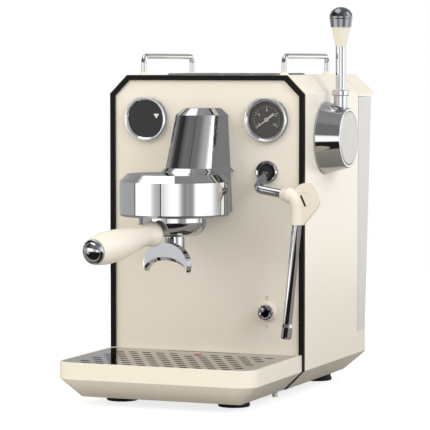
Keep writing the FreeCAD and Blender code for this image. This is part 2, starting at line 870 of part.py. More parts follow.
def make_drip_housing():
    foot = new_body("Housing_foot")
    low = tray_outline(foot, "Housing_low", "0", "drip_half - drip_inset", "-drip_front + drip_inset", "0",
                       "drip_base_corner")
    high = tray_outline(foot, "Housing_high", "drip_slope", "drip_half", "-drip_front", "0", "drip_corner")
    loft(foot, [low, high])
    wall = drip_block("Housing_wall", "0", "drip_slope", "drip_top")
    well = drip_block("Housing_well", "drip_wall", "ledge_height", "drip_top + 1", back="drip_wall")
    sump = sump_block("Housing_sump", "0", "sump_floor", "ledge_height + 1")
    hollow = without("Housing_hollow", joined("Housing_solid", foot, wall), well, sump)
    bosses, holes = [], []
    for x in ("-front_foot_side", "front_foot_side"):
        spot = (x, "-front_foot_front", "0")
        bosses.append(rod("Housing_boss", "boss_radius", "sump_floor - 1", "boss_top", spot))
        holes.append(rod("Housing_hole", "screw_radius", "-1", "screw_grip + screw_room", spot))
    node("drip_housing", without("Housing", joined("Housing_bossed", hollow, *bosses), *holes))
    stub = turned("Stub", [("0", "-stub_length"), ("stub_radius", "-stub_length"), ("stub_radius", "0"),
                           ("0", "0")],
                  [("0.8", ("stub_radius", "-stub_length"))])
    node("drain_stub", stub, ("stub_right", "-stub_front", "0"))


def grate_slots():
    """Staggered slots in rows across the grate, and the long finger slot at its back"""
    half = value("drip_half - drip_wall - pan_gap - drip_corner / 2")
    front = value("drip_front - drip_wall - pan_gap")
    pitch, row_pitch, length = value("slot_pitch"), value("row_pitch"), value("slot_length")
    rows = int((front - value("slot_back")) / row_pitch)
    columns = int(half / pitch)
    slots = []
    for row_index in range(rows):
        y_shift = f"-drip_front + drip_wall + pan_gap + slot_margin + row_pitch * {row_index}"
        for column in range(-columns, columns + 1):
            stagger = 0.5 * (row_index % 2)
            centre = (column + stagger) * pitch
            y_place = value(y_shift)
            aside = abs(centre - value("float_right")) - length / 2
            ahead = abs(y_place + value("slot_width / 2 + float_front")) - value("slot_width / 2")
            near_float = max(aside, ahead) < value("float_radius + float_gap + slot_width")
            if abs(centre) + length / 2 > half or near_float:
                continue
            x_shift = f"slot_pitch * {column + stagger}"
            slots.append(box("Grate_slot", (f"{x_shift} - slot_length / 2", y_shift, "0"),
                             (f"{x_shift} + slot_length / 2", f"{y_shift} + slot_width", "drip_top + 1")))
    finger = box("Finger_slot", ("-finger_slot / 2", "-finger_back", "0"),
                 ("finger_slot / 2", "-finger_back + finger_width", "drip_top + 1"))
    return slots + [finger]


def make_drip_parts():
    gap = "drip_wall + pan_gap"
    rim_top = "drip_top - grate_drop - grate_sheet"
    rim = drip_block("Pan_rim", gap, "ledge_height", rim_top, back=gap)
    rim_hollow = drip_block("Pan_rim_hollow", f"{gap} + pan_wall", "ledge_height + pan_wall", "drip_top + 1",
                            back=f"{gap} + pan_wall")
    sump = sump_block("Pan_sump", "pan_gap", "pan_floor", "ledge_height + 1")
    sump_hollow = sump_block("Pan_sump_hollow", "pan_gap + pan_wall", "pan_floor + pan_wall", "drip_top + 1")
    node("drip_pan", without("Pan", joined("Pan_solid", rim, sump), rim_hollow, sump_hollow))

    sheet_block = drip_block("Grate_sheet", gap, rim_top, "drip_top - grate_drop", back=gap)
    float_hole = rod("Float_hole", "float_radius + float_gap", "0", "drip_top + 1",
                     ("float_right", "-float_front", "0"))
    node("drip_grate", without("Grate", sheet_block, *grate_slots(), float_hole))

    profile = [
        ("0", "pan_floor + pan_wall + float_rest"),
        ("float_bob", "pan_floor + pan_wall + float_rest"),
        ("float_bob", "pan_floor + pan_wall + float_shoulder"),
        ("float_radius", "pan_floor + pan_wall + float_neck"),
        ("float_radius", "drip_top - grate_drop + float_proud"),
        ("0", "drip_top - grate_drop + float_proud"),
    ]
    node("level_float", turned("Float", profile), ("float_right", "-float_front", "0"))


def make_top():
    ribs = []
    for centre in ("-rib_outer", "-rib_inner", "rib_inner", "rib_outer"):
        body = prism("Rib", "XY_Plane", [("-rib_width / 2", "rib_front"), ("rib_width / 2", "rib_front"),
                                         ("rib_width / 2", "rib_back"), ("-rib_width / 2", "rib_back")],
                     "0", "rib_height")
        middle = value("rib_front + rib_back") / 2
        half, height = value("rib_width") / 2, value("rib_height")
        spots = [Vector(half, middle, height), Vector(-half, middle, height),
                 Vector(0, value("rib_front"), height), Vector(0, value("rib_back"), height)]
        dress(body, "Chamfer", "rib_bevel", spots)
        ribs.append(place(body, (centre, "0", "body_height")))
    node("warming_ribs", group("Ribs", *ribs))

    ferrules = []
    ferrule_profile = [
        ("rail_radius", "0"),
        ("ferrule_radius", "0"),
        ("ferrule_radius", "ferrule_height / 2"),
        ("ferrule_neck", "ferrule_height / 2"),
        ("ferrule_neck", "ferrule_height"),
        ("rail_radius", "ferrule_height"),
    ]
    for label, side in (("left_rail", "-rail_side"), ("right_rail", "rail_side")):
        bar = "body_height + rail_rise"
        root = "body_height - rail_root"
        route = [(side, "rail_front", root), (side, "rail_front", bar), (side, "rail_back", bar),
                 (side, "rail_back", root)]
        node(label, tube("Rail", route, "rail_radius", "rail_bend"))
        for back in ("rail_front", "rail_back"):
            ferrules.append(place(turned("Ferrule", ferrule_profile), (side, back, "body_height")))
    node("rail_ferrules", group("Ferrules", *ferrules))


def make_gauge():
    centre = ("dial_side", "0", "dial_height")
    face = "-panel_recess"
    bezel = [
        ("bezel_inner", face),
        ("bezel_radius", face),
        ("bezel_radius", "bezel_front - bezel_bevel"),
        ("bezel_radius - bezel_bevel", "bezel_front"),
        ("bezel_inner + bezel_bevel", "bezel_front"),
        ("bezel_inner", "glass_back + glass_sheet"),
    ]
    node("gauge_bezel", turned("Bezel", bezel), centre, FORWARD)
    case = [
        ("0", "-gauge_depth"),
        ("bezel_inner", "-gauge_depth"),
        ("bezel_inner", "glass_back"),
        ("bezel_inner - gauge_wall", "glass_back"),
        ("bezel_inner - gauge_wall", "-gauge_depth + gauge_wall"),
        ("0", "-gauge_depth + gauge_wall"),
    ]
    node("gauge_case", turned("Gauge_case", case), centre, FORWARD)
    stop_at = ("stop_right", "-stop_below", "0")
    plate = rod("Dial_plate", "bezel_inner - gauge_wall", "-dial_recess - dial_sheet", "-dial_recess")
    pivot = rod("Dial_pivot", "pivot_radius", "-dial_recess", "0")
    stop = rod("Dial_stop", "pivot_radius", "-dial_recess", "-needle_rise", stop_at)
    node("gauge_dial", joined("Dial", plate, pivot, stop), centre, FORWARD)
    half_blade = [("needle_tip", "needle_point"), ("0", "needle_waist"), ("-needle_tail", "needle_wide")]
    outline_points = half_blade + [(x, f"-{y}") for x, y in reversed(half_blade)]
    blade = prism("Needle_blade", "XY_Plane", outline_points,
                  "-dial_recess + needle_rise * 2", "-dial_recess + needle_rise * 2 + needle_sheet")
    hub = rod("Needle_hub", "needle_hub", "-dial_recess + needle_rise",
              "-dial_recess + needle_rise + needle_boss")
    bore = rod("Needle_bore", "pivot_radius + bearing_gap", "-dial_recess - 1", "1")
    needle = without("Needle", joined("Needle_solid", blade, hub), bore)
    node("gauge_needle", needle, centre, "rotation(0; 180 - needle_slope; 90)")
    glass = rod("Gauge_glass", "bezel_inner", "0", "glass_sheet")
    node("gauge_glass", glass, ("dial_side", "-glass_back", "dial_height"), FORWARD)


def make_display():
    centre = ("-dial_side", "0", "dial_height")
    ring = [
        ("window_radius", "-panel_recess"),
        ("bezel_radius", "-panel_recess"),
        ("bezel_radius", "bezel_front - bezel_bevel"),
        ("bezel_radius - bezel_bevel", "bezel_front"),
        ("window_radius + bezel_bevel", "bezel_front"),
        ("window_radius", "bezel_front - bezel_bevel"),
    ]
    node("display_bezel", turned("Display_ring", ring), centre, FORWARD)
    window = turned("Display_window", [("0", "-window_depth"), ("window_radius", "-window_depth"),
                                       ("window_radius", "window_front"), ("0", "window_front")],
                    [("window_round", ("window_radius", "window_front"))])
    node("display_window", window, centre, FORWARD)


def drum_profile(inset):
    return [
        ("0", "drum_bottom" if inset == "0" else "drum_bottom - 1"),
        (f"drum_radius - ({inset})", "drum_bottom" if inset == "0" else "drum_bottom - 1"),
        (f"drum_radius - ({inset})", "drum_side"),
        (f"drum_radius - drum_bevel - ({inset})", f"drum_top - ({inset})"),
        ("0", f"drum_top - ({inset})"),
    ]


def column_solid(name, inset, top_cut):
    """The leaning chrome shroud, round in front and flat at its sides"""
    body = new_body(name)
    head_height = "column_top - column_bevel_height"
    foot = arched_outline(body, name + "_foot", "drum_bottom", f"column_foot_radius - ({inset})",
                          "column_foot_reach", "panel_recess")
    head = arched_outline(body, name + "_head", head_height, f"column_head_radius - ({inset})",
                          "column_head_reach", "panel_recess")
    crown = arched_outline(body, name + "_crown", f"column_top - ({top_cut})",
                           f"column_head_radius - column_bevel - ({inset}) / 2", "column_head_reach - 3",
                           "panel_recess")
    loft(body, [foot, head, crown])
    return body


def column_flare():
    """The ring of the column's foot, spreading down to the drum's top"""
    body = new_body("Column_flare")
    risen = "(flare_height / (column_top - column_bevel_height - drum_top))"
    share = "((drum_top - drum_bottom) / (column_top - column_bevel_height - drum_bottom))"
    radius = f"column_foot_radius - (column_foot_radius - column_head_radius) * {share}"
    reach = f"column_foot_reach - (column_foot_reach - column_head_reach) * {share}"
    low = arched_outline(body, "Flare_low", "drum_top", f"{radius} + column_flare", reach, "panel_recess")
    high = arched_outline(body, "Flare_high", "drum_top + flare_height",
                          f"{radius} - (({radius}) - column_head_radius) * {risen}",
                          f"{reach} - (({reach}) - column_head_reach) * {risen}", "panel_recess")
    loft(body, [low, high])
    return body


def make_group():
    axis = ("0", "-group_reach", "0")
    drum = place(turned("Drum_outer", drum_profile("0"), [("drum_round", ("drum_radius", "drum_bottom"))]),
                 axis)
    hollow = place(turned("Drum_inner", drum_profile("drum_wall")), axis)
    passage = box("Drum_passage", ("-arm_width / 2", "-group_reach + head_radius - 6", "arm_bottom"),
                  ("arm_width / 2", "0", "arm_top"))
    column = joined("Column_solid", column_solid("Column_outer", "0", "0"), column_flare())
    shroud = without("Column_shell", column, column_solid("Column_inner", "column_wall", "column_wall"), drum)
    node("group_column", shroud)
    node("group_cover", without("Drum", drum, hollow, passage))

    profile = [
        ("0", "ceiling"),
        ("gasket_inner", "ceiling"),
        ("gasket_inner", "ceiling + gasket_rise"),
        ("gasket_outer", "ceiling + gasket_rise"),
        ("gasket_outer", "ceiling - 2"),
        ("lock_recess", "ceiling - 2"),
        ("lock_recess", "head_bottom + ramp_thick"),
        ("bowl_radius + lip_gap", "head_bottom + ramp_thick"),
        ("bowl_radius + lip_gap", "head_bottom"),
        ("head_radius", "head_bottom"),
        ("head_radius", "arm_top"),
        ("0", "arm_top"),
    ]
    casting = place(turned("Head_casting", profile), axis)
    arm = box("Head_arm", ("-arm_width / 2", "-group_reach + head_radius - 6", "arm_bottom"),
              ("arm_width / 2", "arm_back", "arm_top"))
    flange = box("Head_flange", ("-arm_width", "frame_depth", "arm_bottom - 12"),
                 ("arm_width", "frame_depth + 4", "arm_top + 12"))
    stop = box("Head_stop", ("-stop_left - 1.5", "-group_reach + stop_back - 4", "head_bottom - stop_drop"),
               ("-stop_left + 1.5", "-group_reach + stop_back + 4", "head_bottom + 1"))
    notches = []
    for side in ("0", "180"):
        notch = document.addObject("Part::Cylinder", "Ramp_notch")
        bind(notch, Radius="lock_recess", Height="ramp_thick + 2", Angle="ear_angle + 6")
        turn = f"rotation({side} - holder_angle - unlock_turn - ear_angle / 2 - 3; 0; 0)"
        notches.append(place(notch, ("0", "-group_reach", "head_bottom - 1"), turn))
    node("brew_head", without("Head", joined("Head_solid", casting, arm, flange, stop), *notches))

    gasket = [("gasket_inner", "bowl_top + basket_lip + 0.5"), ("gasket_outer", "bowl_top + basket_lip + 0.5"),
              ("gasket_outer", "ceiling + gasket_rise"), ("gasket_inner", "ceiling + gasket_rise")]
    node("group_gasket", turned("Gasket", gasket), axis)
    screen = [("0", "ceiling - screen_thick"), ("screen_radius - 2", "ceiling - screen_thick"),
              ("screen_radius", "ceiling - screen_thick + 1.5"), ("screen_radius", "ceiling"),
              ("0", "ceiling")]
    node("shower_screen", turned("Screen", screen), axis)


def holder_node(label, piece):
    """The holder is drawn pointing straight forward from the group's axis, then turned to its rest"""
    node(label, piece, ("0", "-group_reach", "0"), "rotation(-holder_angle; 0; 0)")


def on_handle(distance):
    """A point of the handle's drooping axis, in the holder's own frame"""
    return ("0", f"-({distance})", f"handle_height - (({distance}) - handle_start) * tan(handle_droop)")


def make_holder():
    lower = [
        ("0", "bowl_bottom"),
        ("bowl_radius", "bowl_bottom"),
        ("bowl_radius", "bowl_top"),
        ("0", "bowl_top"),
    ]
    bowl = turned("Bowl_outer", lower, [("bowl_round", ("bowl_radius", "bowl_bottom"))])
    wall, floor = "bowl_radius - bowl_wall", "bowl_bottom + bowl_wall"
    inner = turned("Bowl_inner", [("0", floor), (wall, floor), (wall, "bowl_top + 1"), ("0", "bowl_top + 1")],
                   [("bowl_round - bowl_wall", (wall, floor))])
    ears = []
    ear_bottom = "head_bottom + ramp_thick + ear_gap"
    for side in ("0", "180"):
        ear = document.addObject("Part::Cylinder", "Ear")
        bind(ear, Radius="bowl_radius + ear_reach", Height="ear_thick", Angle="ear_angle")
        ears.append(place(ear, ("0", "0", ear_bottom), f"rotation({side} - ear_angle / 2; 0; 0)"))
    neck = rod("Neck", "neck_radius", "0", "neck_length + neck_root", on_handle("bowl_radius - neck_root"),
               ALONG_HANDLE)
    stem = rod("Stem_thread", "stem_thread", "bowl_bottom - thread_length", "bowl_bottom + 1")
    bore = rod("Stem_bore", "spout_bore", "bowl_bottom - thread_length - 1", "bowl_bottom + bowl_wall + 1")
    solid = joined("Holder_solid", bowl, *ears, neck, stem)
    holder_node("filter_holder", without("Holder", solid, inner, bore))

    wall_radius = "bowl_radius - bowl_wall - basket_gap"
    basket = [
        (wall_radius, "bowl_top"),
        ("bowl_radius - 0.5", "bowl_top"),
        ("bowl_radius - 0.5", "bowl_top + basket_lip"),
        (f"{wall_radius} - basket_wall", "bowl_top + basket_lip"),
        (f"{wall_radius} - basket_wall - 1.5", "bowl_top + basket_lip - basket_depth"),
        ("0", "bowl_top + basket_lip - basket_depth"),
        ("0", "bowl_top + basket_lip - basket_depth - basket_wall"),
        (f"{wall_radius} - 1.5", "bowl_top + basket_lip - basket_depth - basket_wall"),
    ]
    holder_node("filter_basket", turned("Basket", basket))
    clip = document.addObject("Part::Torus", "Clip_ring")
    bind(clip, Radius1="bowl_radius - bowl_wall - clip_radius", Radius2="clip_radius")
    place(clip, ("0", "0", "bowl_top - 9"))
    opening = box("Clip_opening", ("-4", "0", "bowl_top - 12"), ("4", "bowl_radius", "bowl_top"))
    holder_node("basket_spring", without("Clip", clip, opening))

    handle_parts()
    make_spout()


def oval_block(name, half, rise, start, end, height):
    """An upright oval plate across the holder, between two distances ahead of the group's axis"""
    ring = document.addObject("Part::Ellipse", name + "_outline")
    bind(ring, MajorRadius=half, MinorRadius=rise)
    plate = document.addObject("Part::Extrusion", name)
    plate.Base = ring
    plate.DirMode = "Normal"
    plate.Solid = True
    bind(plate, LengthFwd=f"({end}) - ({start})")
    return shifted(plate, start, ("0", "0", height), FORWARD)


def make_spout():
    """A crescent between two ovals, hung in front of the stem that the bowl ends in"""
    back, face = "spout_ahead - spout_thick / 2", "spout_ahead + spout_thick / 2"
    plate = oval_block("Crescent_plate", "spout_half", "spout_rise", back, face, "spout_centre")
    arch = oval_block("Crescent_arch", "arch_half", "arch_rise", f"{back} - 1", f"{face} + 1", "arch_centre")
    below = box("Crescent_below", ("-spout_half - 1", f"-({face}) - 1", "arch_centre - spout_rise"),
                ("spout_half + 1", f"-({back}) + 1", "arch_centre"))
    crescent = without("Crescent", plate, arch, below)
    boss = rod("Spout_boss", "stem_radius", "spout_centre + spout_rise - boss_drop", "bowl_bottom")
    thread = rod("Spout_thread_hole", "stem_thread", "bowl_bottom - thread_length", "bowl_bottom + 1")
    bore = rod("Spout_bore", "spout_bore", "spout_centre + spout_rise - boss_drop - 1", "bowl_bottom")
    holder_node("crescent_spout", without("Spout", joined("Spout_solid", crescent, boss), thread, bore))


def handle_block(length):
    """The handle's turned outside: one smooth line through its radii, at shares of its length"""
    stations = ((0, "grip_back"), (0.035, "grip_bulge"), (0.11, "grip_neck"), (0.2, "grip_waist"),
                (0.4, "grip_mid"), (0.78, "grip_belly"), (1, "grip_end"))
    points = [Vector(value(radius), 0, share * value(length)) for share, radius in stations]
    side = Part.BSplineCurve()
    side.interpolate(points)
    ends = [Vector(0, 0, points[-1].z), Vector(0, 0, 0)]
    rest = Part.makePolygon([points[-1], *ends, points[0]])
    outline_face = Part.Face(Part.Wire([side.toShape(), *rest.Edges]))
    piece = document.addObject("Part::Feature", "Grip")
    piece.Shape = outline_face.revolve(CENTRE_POINT, UP, 360)
    return piece


def handle_parts():
    length = "(handle_end - handle_start) / cos(handle_droop)"
    body = handle_block(length)
    bore = rod("Grip_bore", "stud_radius", "-1", f"{length} + 1")
    grip = place(without("Grip_bored", body, bore), on_handle("handle_start"), ALONG_HANDLE)
    holder_node("holder_handle", group("Handle", grip))
    stud = rod("Cap_stud", "stud_radius", f"-{length}", "1")
    cap_profile = [
        ("0", "0"),
        ("cap_radius", "0"),
        ("cap_radius", "cap_rim"),
        ("cap_radius - cap_step", "cap_rim + cap_lip"),
        ("0", "cap_rim + cap_lip"),
    ]
    rim = turned("Cap_rim", cap_profile, [("cap_lip", ("cap_radius", "cap_rim"))])
    dome = document.addObject("Part::Ellipsoid", "Cap_dome")
    bind(dome, Radius1="cap_dome", Radius2="cap_radius - cap_seat", Radius3="cap_radius - cap_seat")
    dome.Angle1 = 0
    place(dome, ("0", "0", "cap_rim"))
    cap = place(joined("Cap_solid", stud, rim, dome), on_handle("handle_end"), ALONG_HANDLE)
    holder_node("handle_cap", group("Cap", cap))


def along_arm(distance):
    """A point of the wand's cross arm, measured from the elbow over the leg"""
    run = f"(arm_run + ({distance}))"
    return (f"dial_side + {run} * cos(arm_yaw) * cos(arm_dip)",
            f"ball_recess - pipe_reach - {run} * sin(arm_yaw) * cos(arm_dip)",
            f"steam_height - pipe_drop - {run} * sin(arm_dip)")


def finger_tab(elbow):
    """The flat tab on the elbow's outer side, round above and running down into the leg, with a slit"""
    def in_plane(ahead, below):
        return (f"{elbow[0]} + {ahead} * cos(arm_yaw)", f"{elbow[1]} - {ahead} * sin(arm_yaw)",
                f"elbow_height - {below}")
    plate = rod("Tab_plate", "tab_radius", "-tab_thick / 2", "tab_thick / 2",
                in_plane("tab_ahead", "tab_below"), "rotation(-arm_yaw; 0; 90)")
    outline_points = [
        ("0", "-tab_below"),
        ("0", "leg_bottom - elbow_height"),
        ("tab_foot", "leg_bottom - elbow_height"),
        ("tab_ahead + tab_radius * cos(tab_turn)", "tab_radius * sin(tab_turn) - tab_below"),
        ("tab_ahead", "-tab_below"),
    ]
    wedge = prism("Tab_wedge", "XZ_Plane", outline_points, "-tab_thick / 2", "tab_thick / 2")
    place(wedge, in_plane("0", "0"), "rotation(-arm_yaw; 0; 0)")
    slit = group("Tab_slit", box("Tab_slit_bar", ("-slit_length / 2", "-tab_thick", "-slit_width / 2"),
                                 ("slit_length / 2", "tab_thick", "slit_width / 2")))
    place(slit, in_plane("slit_ahead", "slit_below"), "rotation(-arm_yaw; slit_lean; 0)")
    return without("Tab", joined("Tab_solid", plate, wedge), slit)


def make_steam():
    spot = ("dial_side", "0", "steam_height")
    ring = [
        ("ball_radius + ball_gap", "-panel_recess"),
        ("socket_radius", "-panel_recess"),
        ("socket_radius", "0"),
        ("socket_radius - 1.4", "1.6"),
        ("ball_radius + ball_gap", "1"),
    ]
    neck = rod("Socket_neck", "socket_radius - 1", "-socket_depth", "-panel_recess")
    seat = ball("Socket_seat", "ball_radius + ball_gap", ("0", "0", "-ball_recess"))
    shape = without("Socket_shape", joined("Socket_solid", turned("Socket_ring", ring), neck), seat)
    node("steam_socket", shape, spot, FORWARD)

    centre = ("dial_side", "ball_recess", "steam_height")
    bend = ("dial_side", "ball_recess - pipe_reach", "steam_height - pipe_drop")
    pipe = tube("Pipe", [centre, bend, along_arm("-pipe_short")], "pipe_radius", "pipe_bend")
    node("steam_pipe", joined("Steam_arm", ball("Steam_ball", "ball_radius", centre), pipe))

    elbow = along_arm("0")
    top = (elbow[0], elbow[1], "leg_bottom")
    lean = "rotation(0; 180 + wand_lean; 0)"
    mouth = cone("Elbow_mouth", "elbow_mouth", "elbow_bulge", "-elbow_entry", "-bulge_back", elbow, ALONG_ARM)
    bulge = ball("Elbow_bulge", "elbow_bulge", along_arm("-bulge_back"))
    under = (elbow[0], elbow[1], "elbow_height - elbow_shoulder - 1")
    bend = tube("Elbow_bend", [along_arm("-elbow_shoulder"), elbow, under], "elbow_radius", "elbow_bend")
    leg = rod("Elbow_leg", "leg_radius", "leg_bottom", "elbow_height - elbow_shoulder", (elbow[0], elbow[1], "0"))
    bore = rod("Elbow_bore", "pipe_radius + pipe_gap", "-elbow_entry - 1", "-pipe_short + 1", elbow, ALONG_ARM)
    seat = rod("Elbow_seat", "wand_radius", "-wand_seat", "5", top, lean)
    sleeve = joined("Elbow_solid", mouth, bulge, bend, leg, finger_tab(elbow))
    node("wand_grip", without("Wand_grip", sleeve, bore, seat))
    bar = rod("Wand_bar", "wand_radius", "-wand_seat", "wand_length")
    node("wand_tube", group("Wand", bar), top, lean)
    tip_profile = [
        ("1.5", "wand_length"),
        ("wand_radius", "wand_length"),
        ("tip_radius", "wand_length + 4"),
        ("tip_radius", "wand_length + tip_length"),
        ("1.5", "wand_length + tip_length"),
    ]
    tip = turned("Tip", tip_profile, [("2.4", ("tip_radius", "wand_length + tip_length"))])
    node("wand_tip", tip, top, lean)


def make_switch():
    spot = ("switch_side", "0", "switch_height")
    bush = turned("Bush", [("thread_radius", "-panel_recess"), ("bush_radius", "-panel_recess"),
                           ("bush_radius - bush_bevel", "bush_front"), ("thread_radius", "bush_front")])
    node("switch_bush", bush, spot, FORWARD)
    nut = turned("Nut", [("thread_radius", "bush_front"), ("nut_radius", "bush_front"),
                         ("nut_radius", "nut_front - nut_bevel"), ("nut_radius - nut_bevel", "nut_front"),
                         ("thread_radius", "nut_front")])
    node("switch_nut", nut, spot, FORWARD)
    block = box("Switch_block", ("-switch_block / 2", "-switch_block * 0.7", "-frame_depth - switch_depth"),
                ("switch_block / 2", "switch_block * 0.7", "-frame_depth"))
    barrel = rod("Switch_barrel", "thread_radius", "-frame_depth - 1", "nut_front")
    mouth = cone("Switch_mouth", "bat_root + 1.4", "thread_radius - 0.4", "bush_front - 2", "nut_front + 0.01")
    throat = ball("Switch_throat", "bat_mouth + 0.3", ("0", "0", "bush_front - bat_pivot + 2"))
    node("switch_body", without("Switch", joined("Switch_solid", block, barrel), mouth, throat), spot, FORWARD)
    pivot = ("switch_side", "-(bush_front - bat_pivot + 2)", "switch_height")
    knuckle = ball("Bat_knuckle", "bat_mouth", CENTRE)
    bat = cone("Bat_bar", "bat_root", "bat_end", "0", "bat_length")
    end = ball("Bat_end", "bat_end", ("0", "0", "bat_length"))
    node("switch_bat", joined("Bat", knuckle, bat, end), pivot, "rotation(0; 0; 90 - bat_tilt)")


def make_lever():
    spot = ("half_width", "lever_back", "lever_height")
    hub = [
        ("axle_radius", "hub_gap"),
        ("hub_radius", "hub_gap"),
        ("hub_face", "hub_depth"),
        ("badge_radius", "hub_depth"),
        ("badge_radius", "hub_depth - badge_recess"),
        ("axle_radius", "hub_depth - badge_recess"),
    ]
    shell = turned("Hub", hub, [("1.2", ("hub_radius", "hub_gap")), ("1.5", ("hub_face", "hub_depth"))])
    rod_at = ("rod_side", "0", "0")
    upwards = "rotation(0; -90; 0)"
    socket = rod("Hub_socket", "neck_width", "20", "neck_start + 14", ("0", "0", "rod_side"), upwards)
    node("lever_hub", without("Hub_drilled", shell, socket), spot, RIGHTWARD)
    badge = turned("Badge", [("0", "hub_depth - badge_recess"), ("badge_radius", "hub_depth - badge_recess"),
                             ("badge_radius", "hub_depth - 0.4"), ("badge_radius - 2", "hub_depth + 0.4"),
                             ("0", "hub_depth + 0.4")])
    node("lever_badge", badge, spot, RIGHTWARD)
    axle = rod("Axle_bar", "axle_radius", "-bearing_length - 10", "hub_depth - badge_recess")
    node("lever_axle", group("Axle", axle), spot, RIGHTWARD)
    bearing = turned("Bearing", [("axle_radius + bearing_gap", "-bearing_length"),
                                 ("bearing_radius", "-bearing_length"), ("bearing_radius", "0"),
                                 ("axle_radius + bearing_gap", "0")])
    node("lever_bearing", bearing, spot, RIGHTWARD)
    rod_spot = ("half_width + rod_side", "lever_back", "lever_height")
    bar = [
        ("0", "20"),
        ("neck_width", "20"),
        ("neck_width", "collar_start"),
        ("collar_radius", "collar_start"),
        ("collar_radius", "collar_end"),
        ("rod_radius", "collar_end"),
        ("rod_radius", "cone_end"),
        ("0", "cone_end"),
    ]
    stem = turned("Lever_bar", bar, [("1", ("collar_radius", "collar_start")),
                                     ("1", ("collar_radius", "collar_end"))])
    node("lever_rod", stem, rod_spot)
    grip = turned("Lever_cone", [("rod_radius", "cone_start"), ("cone_small", "cone_start"),
                                 ("cone_large", "cone_end"), ("rod_radius", "cone_end")])
    node("lever_grip", grip, rod_spot)
    knob_shape = document.addObject("Part::Ellipsoid", "Knob_ball")
    bind(knob_shape, Radius1="knob_half", Radius2="knob_radius", Radius3="knob_radius")
    place(knob_shape, ("0", "0", "knob_centre"))
    foot = cone("Knob_foot", "knob_foot", "knob_radius", "cone_end", "knob_centre")
    below = rod("Knob_below", "knob_radius + 5", "knob_centre - knob_half - 5", "cone_end")
    knob = without("Knob", joined("Knob_solid", knob_shape, foot), below)
    node("lever_knob", knob, rod_spot)


def mirrored(start, end):
    """A span on the right side and its mirror image on the left"""
    return ((start, end), (f"-({end})", f"-({start})"))


def tank_points(inset, low):
    """The tank's side view, its back leaning out towards the top"""
    slope = "(tank_back - foot_back) / (tank_top - foot_top)"
    back_low = f"foot_back - ({inset}) + ({low} - foot_top) * {slope}"
    return [
        (f"shell_back + tank_gap + ({inset})", low),
        (back_low, low),
        (f"tank_back - ({inset})", "tank_top"),
        (f"shell_back + tank_gap + ({inset})", "tank_top"),
    ]


def tank_block(name, inset, low):
    points = tank_points(inset, low)
    middle = (f"(({points[1][0]}) + ({points[2][0]})) / 2", f"(({low}) + tank_top) / 2")
    return side_profile(name, points, f"half_width - ({inset})", [middle], f"tank_round - ({inset})")


def make_tank():
    outer = tank_block("Tank_outer", "0", "foot_top")
    room = tank_block("Tank_room", "tank_wall", "tank_floor + tank_wall")
    skirt_top = box("Tank_skirt_top", ("-body_width", "0", "0"),
                    ("body_width", "tank_back + body_width", "tank_floor"))
    skirt = common("Tank_skirt", tank_block("Tank_skirt_block", "tank_wall", "foot_top"), skirt_top)
    walls = without("Tank_walls", outer, room, skirt)
    hinge = ("0", "hinge_back", "hinge_height")
    lugs, pins = [], []
    for start, end in mirrored("hinge_side + 1", "hinge_side + 1 + hinge_width"):
        lugs.append(box("Tank_lug", (start, "tank_back - 4", "hinge_height - hinge_radius"),
                        (end, "hinge_back", "hinge_height + hinge_radius / 2")))
        lugs.append(rod("Tank_knuckle", "hinge_radius", start, end, hinge, RIGHTWARD))
    for start, end in mirrored("hinge_side - hinge_width + 1", "hinge_side + 1"):
        pins.append(rod("Tank_pin", "hinge_pin", start, end, hinge, RIGHTWARD))
    valve_hole = rod("Tank_valve_hole", "valve_radius", "foot_top", "tank_floor + tank_wall + 1",
                     ("0", "valve_back", "0"))
    lugged = without("Tank_lugged", joined("Tank_solid", walls, *lugs), room)
    node("water_tank", without("Tank", joined("Tank_pinned", lugged, *pins), valve_hole))

    shoulder, top = "valve_radius + valve_shoulder - valve_gap", "tank_floor + tank_wall + 3"
    valve = turned("Valve", [("0", "foot_top - valve_foot"), (shoulder, "foot_top - valve_foot"),
                             (shoulder, "foot_top + 3"), ("valve_radius", "foot_top + 5"),
                             ("valve_radius", top), ("0", top)])
    node("tank_valve", valve, ("0", "valve_back", "0"))


def lid_block(name, inset, low):
    top = f"body_height - ({inset})"
    rim = "body_height - top_chamfer"
    points = [
        (f"shell_back + lid_seam + ({inset})", low),
        (f"lid_back - ({inset})", low),
        (f"lid_back - ({inset})", rim),
        (f"lid_back - lid_slope - ({inset})", top),
        (f"shell_back + lid_seam + ({inset})", top),
    ]
    upright = (f"lid_back - ({inset})", f"({low} + {rim}) / 2")
    slope = (f"lid_back - lid_slope / 2 - ({inset})", f"({rim} + {top}) / 2")
    block = side_profile(name + "_block", points, f"half_width - ({inset})", [upright, slope],
                         f"lid_round - ({inset})")
    case = tunnel(name + "_case", inset, "shell_back", "lid_back + 1")
    return common(name, block, case)


def make_lid():
    hollow = without("Lid_shell", lid_block("Lid_outer", "0", "lid_bottom"),
                     lid_block("Lid_inner", "lid_wall", "lid_bottom - 1"))
    hinge = ("0", "hinge_back", "hinge_height")
    ears, bores = [], []
    for start, end in mirrored("hinge_side - hinge_width", "hinge_side"):
        ears.append(box("Lid_ear", (start, "hinge_back - hinge_radius", "hinge_height"),
                        (end, "hinge_back + hinge_radius", "lid_bottom + 2")))
        ears.append(rod("Lid_knuckle", "hinge_radius", start, end, hinge, RIGHTWARD))
        bores.append(rod("Lid_bore", "hinge_pin + 0.1", f"{start} - 1", f"{end} + 1", hinge, RIGHTWARD))
    node("tank_lid", without("Lid", joined("Lid_eared", hollow, *ears), *bores))


